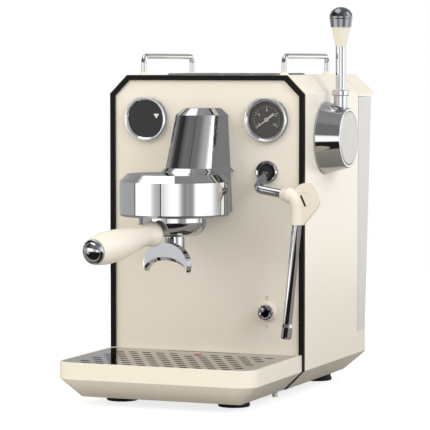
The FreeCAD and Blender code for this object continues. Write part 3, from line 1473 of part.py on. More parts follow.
def make_internals():
    pump_spot = ("-pump_left", "pump_back", "shell_wall")
    waist, coil = "pump_radius - pump_neck", "pump_height - pump_end"
    pump = turned("Pump_body", [("0", "mount_sheet"), (waist, "mount_sheet"), (waist, "pump_end"),
                                ("pump_radius", "pump_end"), ("pump_radius", coil), (waist, coil),
                                (waist, "pump_height"), ("0", "pump_height")])
    node("pump", pump, pump_spot)
    ring = turned("Pump_mount", [("0", "0"), ("pump_radius", "0"), ("pump_radius", "mount_sheet * 2"),
                                 (waist, "mount_sheet * 2"), (waist, "mount_sheet"), ("0", "mount_sheet")])
    node("pump_mount", ring, pump_spot)

    boiler = turned("Boiler_can", [("0", "0"), ("boiler_radius", "0"), ("boiler_radius", "boiler_height"),
                                   ("0", "boiler_height")],
                    [("6", ("boiler_radius", "0")), ("6", ("boiler_radius", "boiler_height"))])
    place(boiler, ("0", "boiler_back", "boiler_bottom"))
    bracket = box("Boiler_bracket", ("-arm_width / 2", "arm_back", "arm_bottom"),
                  ("arm_width / 2", "boiler_back", "arm_top"))
    node("boiler", joined("Boiler", boiler, bracket))

    pump_top = "shell_wall + pump_height"
    rise = f"{pump_top} + hose_rise"
    feed = tube("Feed_hose", [("-pump_left", "pump_back", pump_top), ("-pump_left", "pump_back", rise),
                              ("0", "boiler_back", rise), ("0", "boiler_back", "boiler_bottom")],
                "hose_radius", "hose_bend")
    boiler_top = "boiler_bottom + boiler_height"
    hose_top = f"{boiler_top} + hose_rise"
    out = tube("Steam_hose", [("0", "boiler_back", boiler_top), ("0", "boiler_back", hose_top),
                              ("dial_side", "boiler_back", hose_top),
                              ("dial_side", "boiler_back", "steam_height"),
                              ("dial_side", "socket_depth", "steam_height")], "hose_radius", "hose_bend")
    node("water_lines", group("Water_lines", feed, out))

    board_top = "dial_height + board_above"
    board = box("Board", ("-dial_side - board_width / 2", "window_depth", f"{board_top} - board_height"),
                ("-dial_side + board_width / 2", "window_depth + board_sheet", board_top))
    relays = [box("Relay", (f"-dial_side + {left}", "window_depth + board_sheet", "dial_height - relay_below"),
                  (f"-dial_side + {left} + relay_width", "window_depth + board_sheet + relay_deep",
                   "dial_height - relay_below + relay_tall"))
              for left in ("-relay_left", "-relay_left + relay_width * 1.5")]
    node("control_board", joined("Control_board", board, *relays))


make_case()
make_inlet()
make_feet()
make_drip_housing()
make_drip_parts()
make_top()
make_gauge()
make_display()
make_group()
make_holder()
make_steam()
make_switch()
make_lever()
make_tank()
make_lid()
make_internals()
document.recompute()

failed = [piece.Name for piece in document.Objects if {"Invalid", "Error"} & set(piece.State)]
if failed:
    raise RuntimeError("these objects did not build: " + ", ".join(failed))
for label, piece in nodes.items():
    if piece.Shape.isNull() or not piece.Shape.isValid() or not piece.Shape.Solids:
        raise RuntimeError(label + " has no valid solid")

os.makedirs("parts", exist_ok=True)
for label, piece in nodes.items():
    piece.Shape.exportStep(f"parts/{label}.step")
print(len(nodes), "sub-parts written")
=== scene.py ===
import json
import math
import bmesh
import bpy
from mathutils import Matrix, Vector


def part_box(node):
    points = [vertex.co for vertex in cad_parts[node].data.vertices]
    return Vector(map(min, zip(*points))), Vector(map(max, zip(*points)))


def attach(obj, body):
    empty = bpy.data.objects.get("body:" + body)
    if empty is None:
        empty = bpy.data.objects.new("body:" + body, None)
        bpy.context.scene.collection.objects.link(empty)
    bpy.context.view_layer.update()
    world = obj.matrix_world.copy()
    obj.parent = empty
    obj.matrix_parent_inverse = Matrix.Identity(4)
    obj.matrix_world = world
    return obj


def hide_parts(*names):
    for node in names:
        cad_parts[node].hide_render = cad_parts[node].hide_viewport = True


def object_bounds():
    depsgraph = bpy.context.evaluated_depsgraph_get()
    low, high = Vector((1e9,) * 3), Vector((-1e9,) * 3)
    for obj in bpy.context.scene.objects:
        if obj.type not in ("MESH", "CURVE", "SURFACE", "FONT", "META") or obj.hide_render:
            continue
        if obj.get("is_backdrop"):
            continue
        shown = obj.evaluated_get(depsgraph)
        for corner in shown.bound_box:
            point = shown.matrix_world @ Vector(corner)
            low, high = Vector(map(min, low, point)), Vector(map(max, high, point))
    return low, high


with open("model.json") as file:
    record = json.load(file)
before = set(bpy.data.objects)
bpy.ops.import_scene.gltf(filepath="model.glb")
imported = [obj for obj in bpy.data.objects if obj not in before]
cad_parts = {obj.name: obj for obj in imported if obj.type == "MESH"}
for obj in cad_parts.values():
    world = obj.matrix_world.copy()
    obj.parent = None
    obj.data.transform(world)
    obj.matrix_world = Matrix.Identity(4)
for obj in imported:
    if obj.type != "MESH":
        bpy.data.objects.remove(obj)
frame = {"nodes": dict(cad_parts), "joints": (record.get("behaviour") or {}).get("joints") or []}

bl_info = {
    "name": "Pump espresso machine",
    "version": (1, 0, 0),
    "blender": (4, 5, 0),
    "location": "3D View > Sidebar > Machine",
    "description": "Finishes and fine parts of a cream and chrome pump espresso machine",
    "category": "Object",
}

MM = 0.001
NODES = frame["nodes"]
FRONT = Vector((0, -1, 0))
ACROSS = Vector((1, 0, 0))
UP = Vector((0, 0, 1))

# Points nearer than the first are merged, and a point nearer than the second is the one that is looked for
MERGE = 0.002 * MM
NEAR = 0.01 * MM
# Faces along a rounded edge
ROUND_SEGMENTS = 4


def linear(hex_colour):
    """Turn an sRGB hex colour into the linear numbers that shaders and properties take"""
    parts = [int(hex_colour[start:start + 2], 16) / 255 for start in (1, 3, 5)]
    return tuple(part / 12.92 if part <= 0.04045 else ((part + 0.055) / 1.055) ** 2.4 for part in parts)


def with_alpha(colour):
    """A colour with the fourth number that sockets take"""
    return (*colour, 1.0)


def per_metre(size_mm):
    """Texture scale that repeats a pattern once in a length given in millimetres"""
    return 1000 / size_mm


def colour_property(name, description, hex_colour):
    """A colour that a user can change"""
    return bpy.props.FloatVectorProperty(
        name=name, description=description, subtype="COLOR", size=3, min=0, max=1,
        default=linear(hex_colour))


def length_property(name, description, size_mm):
    """A length that a user can change, given in millimetres"""
    return bpy.props.FloatProperty(
        name=name, description=description, unit="LENGTH", subtype="DISTANCE", min=0,
        default=size_mm * MM)


def power_property(name, description, watts):
    """A lamp's power that a user can change"""
    return bpy.props.FloatProperty(name=name, description=description, unit="POWER", default=watts)


class MachineColours(bpy.types.PropertyGroup):
    """Colours of the machine's finishes"""
    coat: colour_property("Coat", "Cream powder coat of the case", "#F1EDE3")
    grips: colour_property("Grips", "Cream moulded plastic of the grips", "#EEE9DE")
    frame_black: colour_property("Frame", "Black coat of the front frame and base", "#131313")
    chrome: colour_property("Chrome", "Bright chrome plate", "#C6C7C9")
    # Painted shade: the knob's chrome is made darker to stand for its darker reflections
    black_chrome: colour_property("Black chrome", "Dark chrome plate of the lever's knob", "#828487")
    # Painted highlight: chrome made brighter than the rest, on the gauge and window rings
    bezel_chrome: colour_property(
        "Bezel chrome", "Brightest chrome plate, round the gauge and window", "#E8E9EA")
    steel: colour_property("Steel", "Polished stainless sheet", "#C8C6C2")
    # The grate's colour is the polished steel made darker
    grate: colour_property("Grate", "Polished grate, a little dulled by coffee", "#8F8B86")
    galvanised: colour_property("Galvanised", "Plain zinc-coated sheet", "#8F9193")
    tank: colour_property("Tank", "Frosted tank plastic", "#F3F4F5")
    dial: colour_property("Dial", "Dark grey of the gauge's dial", "#5F5F5F")
    display: colour_property("Display", "Smoked black window", "#0E0E0E")
    print_white: colour_property("Print", "White printing and needle", "#EDEDEB")
    black: colour_property("Black plastic", "Moulded black plastic", "#1B1B1C")
    rubber: colour_property("Rubber", "Feet and gaskets", "#151515")
    grey: colour_property("Grey plastic", "Drip pan and hoses", "#8A8A88")
    red: colour_property("Red", "Level float", "#C4211C")
    aluminium: colour_property("Aluminium", "Die-cast aluminium", "#A9A9A8")
    brass: colour_property("Brass", "Turned brass", "#B39155")
    board: colour_property("Board", "Green printed board", "#1F5231")
    # Dark grey polished metal of the warming ribs
    dark_chrome: colour_property("Dark metal", "Polished metal that has gone dark with heat", "#55565A")
    print_grey: colour_property("Grey print", "Grey printing on the panel", "#8D8A84")


class GaugeSizes(bpy.types.PropertyGroup):
    """Sizes of the printed dial, the small marks and the knurls"""
    tick_radius: length_property("Tick radius", "From the dial's centre to the outer end of its ticks", 16.6)
    tick_length: length_property("Tick length", "Length of a long tick", 2.6)
    tick_width: length_property("Tick width", "Width of a long tick", 0.7)
    digit_radius: length_property("Digit radius", "From the dial's centre to its digits", 11.4)
    digit_height: length_property("Digit height", "Height of the dial's digits", 3.4)
    print_depth: length_property("Print depth", "How far printing stands up", 0.12)
    mark_side: length_property("Mark width", "Side of the triangle in the round window", 7.2)
    switch_digit: length_property("Switch digit", "Height of the digits over and under the switch", 5.2)
    flute_depth: length_property("Flute depth", "Depth of the knurls of the switch's nut", 0.5)


class StudioSettings(bpy.types.PropertyGroup):
    """Camera, lamps and backdrop"""
    azimuth: bpy.props.FloatProperty(
        name="Azimuth", description="Camera's turn round the machine, from its front to its right",
        subtype="ANGLE", default=math.radians(21.92))
    elevation: bpy.props.FloatProperty(
        name="Elevation", description="Camera's height as an angle", subtype="ANGLE",
        default=math.radians(3.58))
    position: bpy.props.FloatVectorProperty(
        name="Position", description="Camera's place", unit="LENGTH", subtype="XYZ", size=3,
        default=(1.0719, -2.6839, 0.3963))
    lens: bpy.props.FloatProperty(
        name="Lens", description="Focal length on a 36 mm sensor", unit="CAMERA", default=202.7)
    room_tint: colour_property("Room", "Tint of the light that the room returns", "#FFF7EA")
    lamp_tint: colour_property("Lamps", "Tint of the lamps, a little cooler than the room", "#E9F2FF")
    ambient: bpy.props.FloatProperty(
        name="Ambient", description="Brightness of the room on matt surfaces", min=0, default=1.0)
    key: power_property("Key", "Power of the lamp on the right", 22)
    fill: power_property("Fill", "Power of the lamp on the left", 10)
    left: power_property("Left", "Power of the lamp far on the left", 5)
    low_right: power_property("Low right", "Power of the low lamp on the right", 2)
    low_left: power_property("Low left", "Power of the low lamp on the left", 0.5)
    bounce: power_property("Bounce", "Power of the panel that lies on the floor in front", 0.45)


def add_node(tree, kind, settings=None, links=None):
    """Add a shader node, set its values and link its inputs"""
    node = tree.nodes.new(kind)
    for key, setting in (settings or {}).items():
        if isinstance(key, int) or key in node.inputs:
            node.inputs[key].default_value = setting
        else:
            setattr(node, key, setting)
    for key, socket in (links or {}).items():
        tree.links.new(socket, node.inputs[key])
    return node


def start_material(name, colour, **shader_settings):
    """A new material with its shader's plain values set, and Object coordinates for its patterns"""
    material = bpy.data.materials.new(name)
    material.use_nodes = True
    tree = material.node_tree
    shader = tree.nodes["Principled BSDF"]
    shader.inputs["Base Color"].default_value = with_alpha(colour)
    for key, setting in shader_settings.items():
        shader.inputs[key.replace("_", " ")].default_value = setting
    place = add_node(tree, "ShaderNodeTexCoord").outputs["Object"]
    return material, tree, shader, place


def vary_colour(tree, shader, place, colour, size_mm, depth):
    """Drift a colour a little lighter and darker over patches of a given size"""
    patches = add_node(tree, "ShaderNodeTexNoise", {"Scale": per_metre(size_mm), "Detail": 3.0},
                       {"Vector": place})
    tones = [with_alpha(tuple(part * (1 + sign * depth) for part in colour)) for sign in (-1, 1)]
    drift = add_node(tree, "ShaderNodeMix", {"data_type": "RGBA", 6: tones[0], 7: tones[1]},
                     {0: patches.outputs["Fac"]})
    tree.links.new(drift.outputs[2], shader.inputs["Base Color"])


def vary_roughness(tree, shader, place, size_mm, smooth, rough):
    """Drift the roughness between two values over patches of a given size"""
    patches = add_node(tree, "ShaderNodeTexNoise", {"Scale": per_metre(size_mm), "Detail": 4.0},
                       {"Vector": place})
    spread = add_node(tree, "ShaderNodeMapRange", {"To Min": smooth, "To Max": rough},
                      {"Value": patches.outputs["Fac"]})
    tree.links.new(spread.outputs["Result"], shader.inputs["Roughness"])


def rough_up(tree, shader, height, depth_mm, strength):
    """Raise and sink the surface by a height pattern"""
    bump = add_node(tree, "ShaderNodeBump", {"Strength": strength, "Distance": depth_mm * MM},
                    {"Height": height})
    tree.links.new(bump.outputs["Normal"], shader.inputs["Normal"])


def powder_coat(name, colour):
    """Powder coat on sheet steel, sprayed and baked: semi-gloss, with a faint orange peel"""
    material, tree, shader, place = start_material(name, colour, Coat_Weight=0.25, Coat_Roughness=0.22)
    vary_colour(tree, shader, place, colour, size_mm=140, depth=0.012)
    vary_roughness(tree, shader, place, size_mm=9, smooth=0.34, rough=0.42)
    peel = add_node(tree, "ShaderNodeTexNoise", {"Scale": per_metre(1.8), "Detail": 2.0}, {"Vector": place})
    rough_up(tree, shader, peel.outputs["Fac"], depth_mm=0.03, strength=0.12)
    return material


def matt_coat(name, colour):
    """Matt black powder coat, thick and fine-grained: it hardly shines"""
    material, tree, shader, place = start_material(name, colour, Specular_IOR_Level=0.2)
    vary_colour(tree, shader, place, colour, size_mm=60, depth=0.08)
    vary_roughness(tree, shader, place, size_mm=5, smooth=0.5, rough=0.6)
    grain = add_node(tree, "ShaderNodeTexNoise", {"Scale": per_metre(1.0), "Detail": 3.0}, {"Vector": place})
    rough_up(tree, shader, grain.outputs["Fac"], depth_mm=0.03, strength=0.15)
    return material


def chrome_plate(name, colour, smooth=0.005, rough=0.02):
    """Bright chrome plate on polished metal: a mirror, with the faintest haze from wiping"""
    material, tree, shader, place = start_material(name, colour, Metallic=1.0)
    vary_colour(tree, shader, place, colour, size_mm=60, depth=0.01)
    vary_roughness(tree, shader, place, size_mm=14, smooth=smooth, rough=rough)
    return material


def polished_steel(name, colour):
    """Stainless sheet, rolled and mirror-polished: fine polishing lines run along the sheet"""
    material, tree, shader, place = start_material(name, colour, Metallic=1.0)
    vary_colour(tree, shader, place, colour, size_mm=80, depth=0.02)
    vary_roughness(tree, shader, place, size_mm=12, smooth=0.05, rough=0.1)
    drawn_out = (0.02, 1.0, 1.0)
    stretch = add_node(tree, "ShaderNodeMapping", {"Scale": drawn_out}, {"Vector": place})
    lines = add_node(tree, "ShaderNodeTexNoise", {"Scale": per_metre(0.6), "Detail": 2.0},
                     {"Vector": stretch.outputs["Vector"]})
    rough_up(tree, shader, lines.outputs["Fac"], depth_mm=0.004, strength=0.1)
    return material


# Painted shade for the grate's slot walls, a near-black that stands for the shade inside the slots, and how
# far up a face looks to count as the grate's top
SLOT_PAINTED_SHADE = "#0B0A0A"
LEVEL_ENOUGH = 0.5


def pressed_grate(name, colour):
    """Punched and polished stainless sheet: its top keeps the steel colour, and the walls of its slots are
    painted near-black as shade
    """
    material = polished_steel(name, colour)
    tree = material.node_tree
    shader = tree.nodes["Principled BSDF"]
    steel = shader.inputs["Base Color"].links[0].from_socket
    facing = add_node(tree, "ShaderNodeSeparateXYZ", None,
                      {"Vector": add_node(tree, "ShaderNodeNewGeometry").outputs["True Normal"]})
    level = add_node(tree, "ShaderNodeMath", {"operation": "GREATER_THAN", 1: LEVEL_ENOUGH},
                     {0: facing.outputs["Z"]})
    # Painted shade: faces that do not face up, the slot walls, take the near-black colour
    slot_shade = add_node(tree, "ShaderNodeMix", {"data_type": "RGBA", 6: with_alpha(linear(SLOT_PAINTED_SHADE))},
                     {0: level.outputs["Value"], 7: steel})
    tree.links.new(slot_shade.outputs[2], shader.inputs["Base Color"])
    return material


def zinc_sheet(name, colour):
    """Hot-dip galvanised steel: grey zinc crystals a few millimetres across, half matt"""
    material, tree, shader, place = start_material(name, colour, Metallic=0.85)
    crystals = add_node(tree, "ShaderNodeTexVoronoi", {"Scale": per_metre(7)}, {"Vector": place})
    darkest, palest = 0.82, 1.12
    tones = [with_alpha(tuple(part * share for part in colour)) for share in (darkest, palest)]
    spangle = add_node(tree, "ShaderNodeMix", {"data_type": "RGBA", 6: tones[0], 7: tones[1]},
                       {0: crystals.outputs["Color"]})
    tree.links.new(spangle.outputs[2], shader.inputs["Base Color"])
    vary_roughness(tree, shader, place, size_mm=6, smooth=0.36, rough=0.5)
    return material


def moulded_plastic(name, colour, smooth=0.3, rough=0.38, grain_mm=0.7):
    """Injection-moulded ABS: satin, with the soft grain of its mould"""
    material, tree, shader, place = start_material(name, colour, IOR=1.54)
    vary_colour(tree, shader, place, colour, size_mm=45, depth=0.012)
    vary_roughness(tree, shader, place, size_mm=11, smooth=smooth, rough=rough)
    grain = add_node(tree, "ShaderNodeTexNoise", {"Scale": per_metre(grain_mm), "Detail": 2.0},
                     {"Vector": place})
    rough_up(tree, shader, grain.outputs["Fac"], depth_mm=0.02, strength=0.1)
    return material


def frosted_plastic(name, colour):
    """Frosted SAN, blow-moulded: lets light through but no picture"""
    material, tree, shader, place = start_material(name, colour, IOR=1.57, Transmission_Weight=0.3)
    vary_colour(tree, shader, place, colour, size_mm=70, depth=0.015)
    vary_roughness(tree, shader, place, size_mm=10, smooth=0.4, rough=0.5)
    return material


def clear_glass(name, colour):
    """Thin float glass, clear and polished: it hardly tints what lies under it"""
    material, tree, shader, place = start_material(name, colour, IOR=1.5, Alpha=0.12)
    vary_roughness(tree, shader, place, size_mm=20, smooth=0.0, rough=0.015)
    return material


def smoked_acrylic(name, colour):
    """Smoked acrylic window, cast and polished: black and glossy"""
    material, tree, shader, place = start_material(name, colour, IOR=1.49)
    vary_colour(tree, shader, place, colour, size_mm=30, depth=0.04)
    vary_roughness(tree, shader, place, size_mm=18, smooth=0.12, rough=0.18)
    return material


def matt_ink(name, colour):
    """Screen-printed ink: matt, with a fine tooth"""
    material, tree, shader, place = start_material(name, colour, IOR=1.45)
    vary_colour(tree, shader, place, colour, size_mm=12, depth=0.02)
    vary_roughness(tree, shader, place, size_mm=4, smooth=0.5, rough=0.6)
    return material


def moulded_rubber(name, colour):
    """Moulded nitrile rubber: dull black, a little greyer where it is handled"""
    material, tree, shader, place = start_material(name, colour, IOR=1.5)
    vary_colour(tree, shader, place, colour, size_mm=9, depth=0.15)
    vary_roughness(tree, shader, place, size_mm=5, smooth=0.55, rough=0.7)
    tooth = add_node(tree, "ShaderNodeTexNoise", {"Scale": per_metre(0.8), "Detail": 3.0}, {"Vector": place})
    rough_up(tree, shader, tooth.outputs["Fac"], depth_mm=0.04, strength=0.2)
    return material


def cast_metal(name, colour, smooth=0.35, rough=0.5):
    """Die-cast or turned metal, left as it came: half matt with a fine grain"""
    material, tree, shader, place = start_material(name, colour, Metallic=1.0)
    vary_colour(tree, shader, place, colour, size_mm=20, depth=0.04)
    vary_roughness(tree, shader, place, size_mm=3, smooth=smooth, rough=rough)
    grain = add_node(tree, "ShaderNodeTexNoise", {"Scale": per_metre(0.9), "Detail": 3.0}, {"Vector": place})
    rough_up(tree, shader, grain.outputs["Fac"], depth_mm=0.03, strength=0.15)
    return material


FINISHES = {
    "cream_paint": (powder_coat, "coat"),
    "black_paint": (matt_coat, "frame_black"),
    "chrome": (chrome_plate, "chrome"),
    "mirror_steel": (polished_steel, "steel"),
    "dark_steel": (zinc_sheet, "galvanised"),
    "cream_plastic": (moulded_plastic, "grips"),
    "tank_plastic": (frosted_plastic, "tank"),
    "clear_window": (clear_glass, "display"),
    "black_window": (smoked_acrylic, "display"),
    "dial_grey": (matt_ink, "dial"),
    "white_paint": (matt_ink, "print_white"),
    "black_plastic": (moulded_plastic, "black"),
    "grey_plastic": (moulded_plastic, "grey"),
    "black_rubber": (moulded_rubber, "rubber"),
    "red_plastic": (moulded_plastic, "red"),
    "cast_aluminium": (cast_metal, "aluminium"),
    "plain_steel": (cast_metal, "steel"),
    "brass": (cast_metal, "brass"),
    "board_green": (matt_ink, "board"),
    "heated_metal": (chrome_plate, "dark_chrome"),
    "grate_steel": (pressed_grate, "grate"),
    "black_chrome": (chrome_plate, "black_chrome"),
    "bezel_chrome": (chrome_plate, "bezel_chrome"),
    "grey_print": (matt_ink, "print_grey"),
}
# Nodes whose finish differs from the rest of their kind
# The drip pan takes black plastic: painted shade for the dark seen through the grate's slots
NODE_FINISHES = {"warming_ribs": "heated_metal", "drip_pan": "black_plastic", "drip_grate": "grate_steel",
                 "lever_knob": "black_chrome"}


def finish_of(slot):
    """The material of a named finish, made once"""
    name = "finish_" + slot
    if name not in bpy.data.materials:
        make, colour = FINISHES[slot]
        make(name, tuple(getattr(bpy.context.scene.machine_colours, colour)))
    return bpy.data.materials[name]


class MACHINE_OT_finishes(bpy.types.Operator):
    """Give every piece of the frame its finish"""
    bl_idname = "machine.finishes"
    bl_label = "Finishes"

    def execute(self, context):
        for piece in NODES.values():
            for slot in piece.material_slots:
                slot.material = finish_of(NODE_FINISHES.get(piece.name, slot.material.name))
        return {"FINISHED"}


def middle_of(node):
    """Middle of a node's box"""
    low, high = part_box(node)
    return (low + high) / 2


def rear_middle(node):
    """Middle of the rear side of a node's box"""
    low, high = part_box(node)
    return Vector(((low.x + high.x) / 2, high.y, (low.z + high.z) / 2))


def joint_place(name):
    """Where a joint's axis passes"""
    joint = next(joint for joint in frame["joints"] if joint["name"] == name)
    return Vector(joint["pos_m"])


def start_point(name, place):
    """A new piece that is a single selected point, in edit mode"""
    bpy.ops.object.select_all(action="DESELECT")
    bpy.ops.mesh.primitive_plane_add(size=MM)
    piece = bpy.context.object
    piece.name = piece.data.name = name
    bpy.ops.object.mode_set(mode="EDIT")
    bpy.ops.mesh.select_mode(type="VERT")
    bpy.ops.mesh.select_all(action="SELECT")
    bpy.ops.mesh.merge(type="CENTER")
    bpy.ops.transform.translate(value=place)
    return piece


def pick(piece, kind, test):
    """In edit mode, select only the vertices, edges or faces whose middle passes a test"""
    bpy.ops.mesh.select_all(action="DESELECT")
    bpy.ops.mesh.select_mode(type=kind)
    mesh = bmesh.from_edit_mesh(piece.data)
    for item in {"VERT": mesh.verts, "EDGE": mesh.edges, "FACE": mesh.faces}[kind]:
        if kind == "FACE":
            middle = item.calc_center_median()
        else:
            middle = item.co if kind == "VERT" else (item.verts[0].co + item.verts[1].co) / 2
        item.select_set(test(middle))
    mesh.select_flush_mode()
    bmesh.update_edit_mesh(piece.data)


def close_up():
    """In edit mode, merge doubles and turn all faces outwards"""
    bpy.ops.mesh.select_all(action="SELECT")
    bpy.ops.mesh.remove_doubles(threshold=MERGE)
    bpy.ops.mesh.normals_make_consistent(inside=False)


def hand_over(piece, slot, body, material="", sharp=32):
    """Leave edit mode, smooth the piece, and give it its finish and the body that it moves with

    Edges past the sharp angle, in degrees, stay sharp.
    """
    bpy.ops.object.mode_set(mode="OBJECT")
    bpy.ops.object.transform_apply(location=True, rotation=True, scale=True)
    bpy.ops.object.shade_smooth_by_angle(angle=math.radians(sharp))
    piece.data.materials.clear()
    piece.data.materials.append(finish_of(material or slot))
    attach(piece, body)


def turn_piece(name, profile, centre, axis, sideways, steps=96, sweep=math.tau):
    """Turn a closed profile round an axis. Each corner is its radius, height and rounding in millimetres"""
    centre, axis, sideways = Vector(centre), Vector(axis), Vector(sideways)
    corners = [centre + sideways * radius * MM + axis * height * MM for radius, height, _ in profile]
    piece = start_point(name, corners[0])
    for before, after in zip(corners, corners[1:] + corners[:1]):
        bpy.ops.mesh.extrude_vertices_move(TRANSFORM_OT_translate={"value": after - before})
    bpy.ops.mesh.select_all(action="SELECT")
    bpy.ops.mesh.remove_doubles(threshold=MERGE)
    for corner, (*_, rounding) in zip(corners, profile):
        if rounding:
            pick(piece, "VERT", lambda place: (place - corner).length < NEAR)
            bpy.ops.mesh.bevel(offset=rounding * MM, offset_type="OFFSET", segments=ROUND_SEGMENTS,
                               affect="VERTICES")
    bpy.ops.mesh.select_all(action="SELECT")
    bpy.ops.mesh.spin(steps=steps, angle=sweep, center=centre, axis=axis)
    close_up()
    return piece


# Bezel profiles from the panel forwards, as radius, height and rounding in millimetres: both bezels share a
# round outer ring and a groove, and each has its own ring that slopes to the glass
BEZEL_OUTSIDE = ((26.9, 0, 0), (26.9, 6.9, 1.0), (24.9, 6.9, 0.4), (24.75, 6.1, 0), (24.5, 6.1, 0))
GAUGE_BEZEL = ((23.2, 0, 0), *BEZEL_OUTSIDE, (24.3, 6.6, 0.2), (23.2, 5.4, 0))
DISPLAY_BEZEL = ((22.4, 0, 0), *BEZEL_OUTSIDE, (24.2, 6.6, 0.3), (22.4, 5.0, 0.3))


def bezel(node, profile):
    """A turned ring that stands for one bezel node"""
    ring = turn_piece(node + "_ring", profile, rear_middle(node), FRONT, ACROSS)
    hand_over(ring, "chrome", "root", "bezel_chrome")
    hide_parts(node)


class MACHINE_OT_bezels(bpy.types.Operator):
    """Turned chrome rings of the gauge and the round window"""
    bl_idname = "machine.bezels"
    bl_label = "Bezels"

    def execute(self, context):
        bezel("gauge_bezel", GAUGE_BEZEL)
        bezel("display_bezel", DISPLAY_BEZEL)
        return {"FINISHED"}


# Font size over the height of its digits
FONT_SHARE = 1.4


def add_text(name, text, height, place, depth, material):
    """A printed digit or number with its middle at a place, facing the front"""
    bpy.ops.object.select_all(action="DESELECT")
    bpy.ops.object.text_add(location=place, rotation=(math.pi / 2, 0, 0))
    piece = bpy.context.object
    piece.name = piece.data.name = name
    piece.data.body = text
    piece.data.align_x = piece.data.align_y = "CENTER"
    piece.data.size = height * FONT_SHARE
    piece.data.extrude = depth / 2
    bpy.ops.object.convert(target="MESH")
    piece = bpy.context.object
    bpy.ops.object.mode_set(mode="EDIT")
    close_up()
    hand_over(piece, "white_paint", "root", material)


def turned_up(angle):
    """Direction on the panel at an angle from straight up, clockwise as seen from the front"""
    return ACROSS * math.sin(angle) + UP * math.cos(angle)


# The dial's scale: its steps, how many make a long tick, the number between long ticks, and its sweep
DIAL_STEPS = 20
DIAL_LONG_EVERY = 5
DIAL_COUNT = 4
DIAL_SWEEP = math.radians(240)
# Size of a short tick over that of a long one
SHORT_TICK_SHARE = 0.6
# From the dial's rear to where its printing starts
DIAL_FACE = 1.0 * MM


class MACHINE_OT_dial_print(bpy.types.Operator):
    """Ticks and digits on the gauge's dial"""
    bl_idname = "machine.dial_print"
    bl_label = "Dial print"

    def execute(self, context):
        sizes = context.scene.gauge_sizes
        centre = rear_middle("gauge_dial")
        centre.y -= DIAL_FACE
        for step in range(DIAL_STEPS + 1):
            angle = -DIAL_SWEEP / 2 + DIAL_SWEEP * step / DIAL_STEPS
            long = step % DIAL_LONG_EVERY == 0
            share = 1 if long else SHORT_TICK_SHARE
            way = turned_up(angle)
            side = way.cross(FRONT)
            length = sizes.tick_length * share
            corner = centre + way * (sizes.tick_radius - length) - side * sizes.tick_width * share / 2
            tick = start_point(f"dial_tick_{step}", corner)
            bpy.ops.mesh.extrude_vertices_move(TRANSFORM_OT_translate={"value": way * length})
            bpy.ops.mesh.select_all(action="SELECT")
            bpy.ops.mesh.extrude_edges_move(
                TRANSFORM_OT_translate={"value": side * sizes.tick_width * share})
            bpy.ops.mesh.select_all(action="SELECT")
            bpy.ops.mesh.extrude_region_move(TRANSFORM_OT_translate={"value": FRONT * sizes.print_depth})
            close_up()
            hand_over(tick, "white_paint", "root")
            if long:
                add_text(f"dial_digit_{step}", str(step // DIAL_LONG_EVERY * DIAL_COUNT), sizes.digit_height,
                         centre + way * sizes.digit_radius, sizes.print_depth, "white_paint")
        return {"FINISHED"}


# Turn of the spout's front face from the machine's front, and its distance from the holder's axis
SPOUT_TURN = math.radians(12)
SPOUT_FACE = 20 * MM
# The cut behind the face and the cutter in front of it, and how far under the spout the cut is centred
SPOUT_CUT_DEPTH = 3 * MM
SPOUT_CUT_PAST = 1 * MM
SPOUT_CUT_DROP = 1.33 * MM
# Half the width and half the height of the cut at its back and at its front
SPOUT_ARCH = Vector((28.9, 14.9, 0)) * MM
SPOUT_FLARE = Vector((31.6, 20.6, 0)) * MM
# Faces that meet at less than the first angle become one, and edges past the second stay sharp, in degrees
SPOUT_FLAT = 0.5
SPOUT_SHARP = 18


class MACHINE_OT_spout(bpy.types.Operator):
    """Twin spout with its front edge cut back along the inner arch"""
    bl_idname = "machine.spout"
    bl_label = "Spout"

    def execute(self, context):
        front = Vector((-math.sin(SPOUT_TURN), -math.cos(SPOUT_TURN), 0))
        centre = joint_place("holder_turn") + front * SPOUT_FACE
        centre.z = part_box("crescent_spout")[0].z - SPOUT_CUT_DROP
        bpy.ops.mesh.primitive_cylinder_add(
            vertices=128, radius=1, depth=SPOUT_CUT_DEPTH + SPOUT_CUT_PAST, location=(0, 0, 0))
        cutter = bpy.context.object
        bpy.ops.object.mode_set(mode="EDIT")
        for side, size in ((-1, SPOUT_ARCH), (1, SPOUT_FLARE)):
            pick(cutter, "VERT", lambda place: place.z * side > 0)
            bpy.ops.transform.resize(value=(size.x, size.y, 1))
        bpy.ops.object.mode_set(mode="OBJECT")
        turned = Matrix((UP.cross(front), UP, front)).transposed().to_4x4()
        inwards = front * (SPOUT_CUT_DEPTH - SPOUT_CUT_PAST) / 2
        cutter.matrix_world = Matrix.Translation(centre - inwards) @ turned
        spout = bpy.data.objects.new("twin_spout", NODES["crescent_spout"].data.copy())
        context.collection.objects.link(spout)
        bpy.ops.object.select_all(action="DESELECT")
        spout.select_set(True)
        context.view_layer.objects.active = spout
        bpy.ops.object.mode_set(mode="EDIT")
        bpy.ops.mesh.select_mode(type="VERT")
        close_up()
        bpy.ops.object.mode_set(mode="OBJECT")
        cut = spout.modifiers.new("cut", "BOOLEAN")
        cut.operation, cut.solver, cut.object = "DIFFERENCE", "EXACT", cutter
        bpy.ops.object.modifier_apply(modifier=cut.name)
        bpy.data.objects.remove(cutter)
        bpy.ops.object.mode_set(mode="EDIT")
        bpy.ops.mesh.select_all(action="SELECT")
        bpy.ops.mesh.dissolve_limited(angle_limit=math.radians(SPOUT_FLAT))
        bpy.ops.object.mode_set(mode="OBJECT")
        hand_over(spout, "chrome", "holder", sharp=SPOUT_SHARP)
        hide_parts("crescent_spout")
        return {"FINISHED"}


# The triangle's lower tip, right of the window's middle and above it, and its height over its width
MARK_RIGHT = 14.2 * MM
MARK_RISE = 0.4 * MM
MARK_HEIGHT_SHARE = 0.8


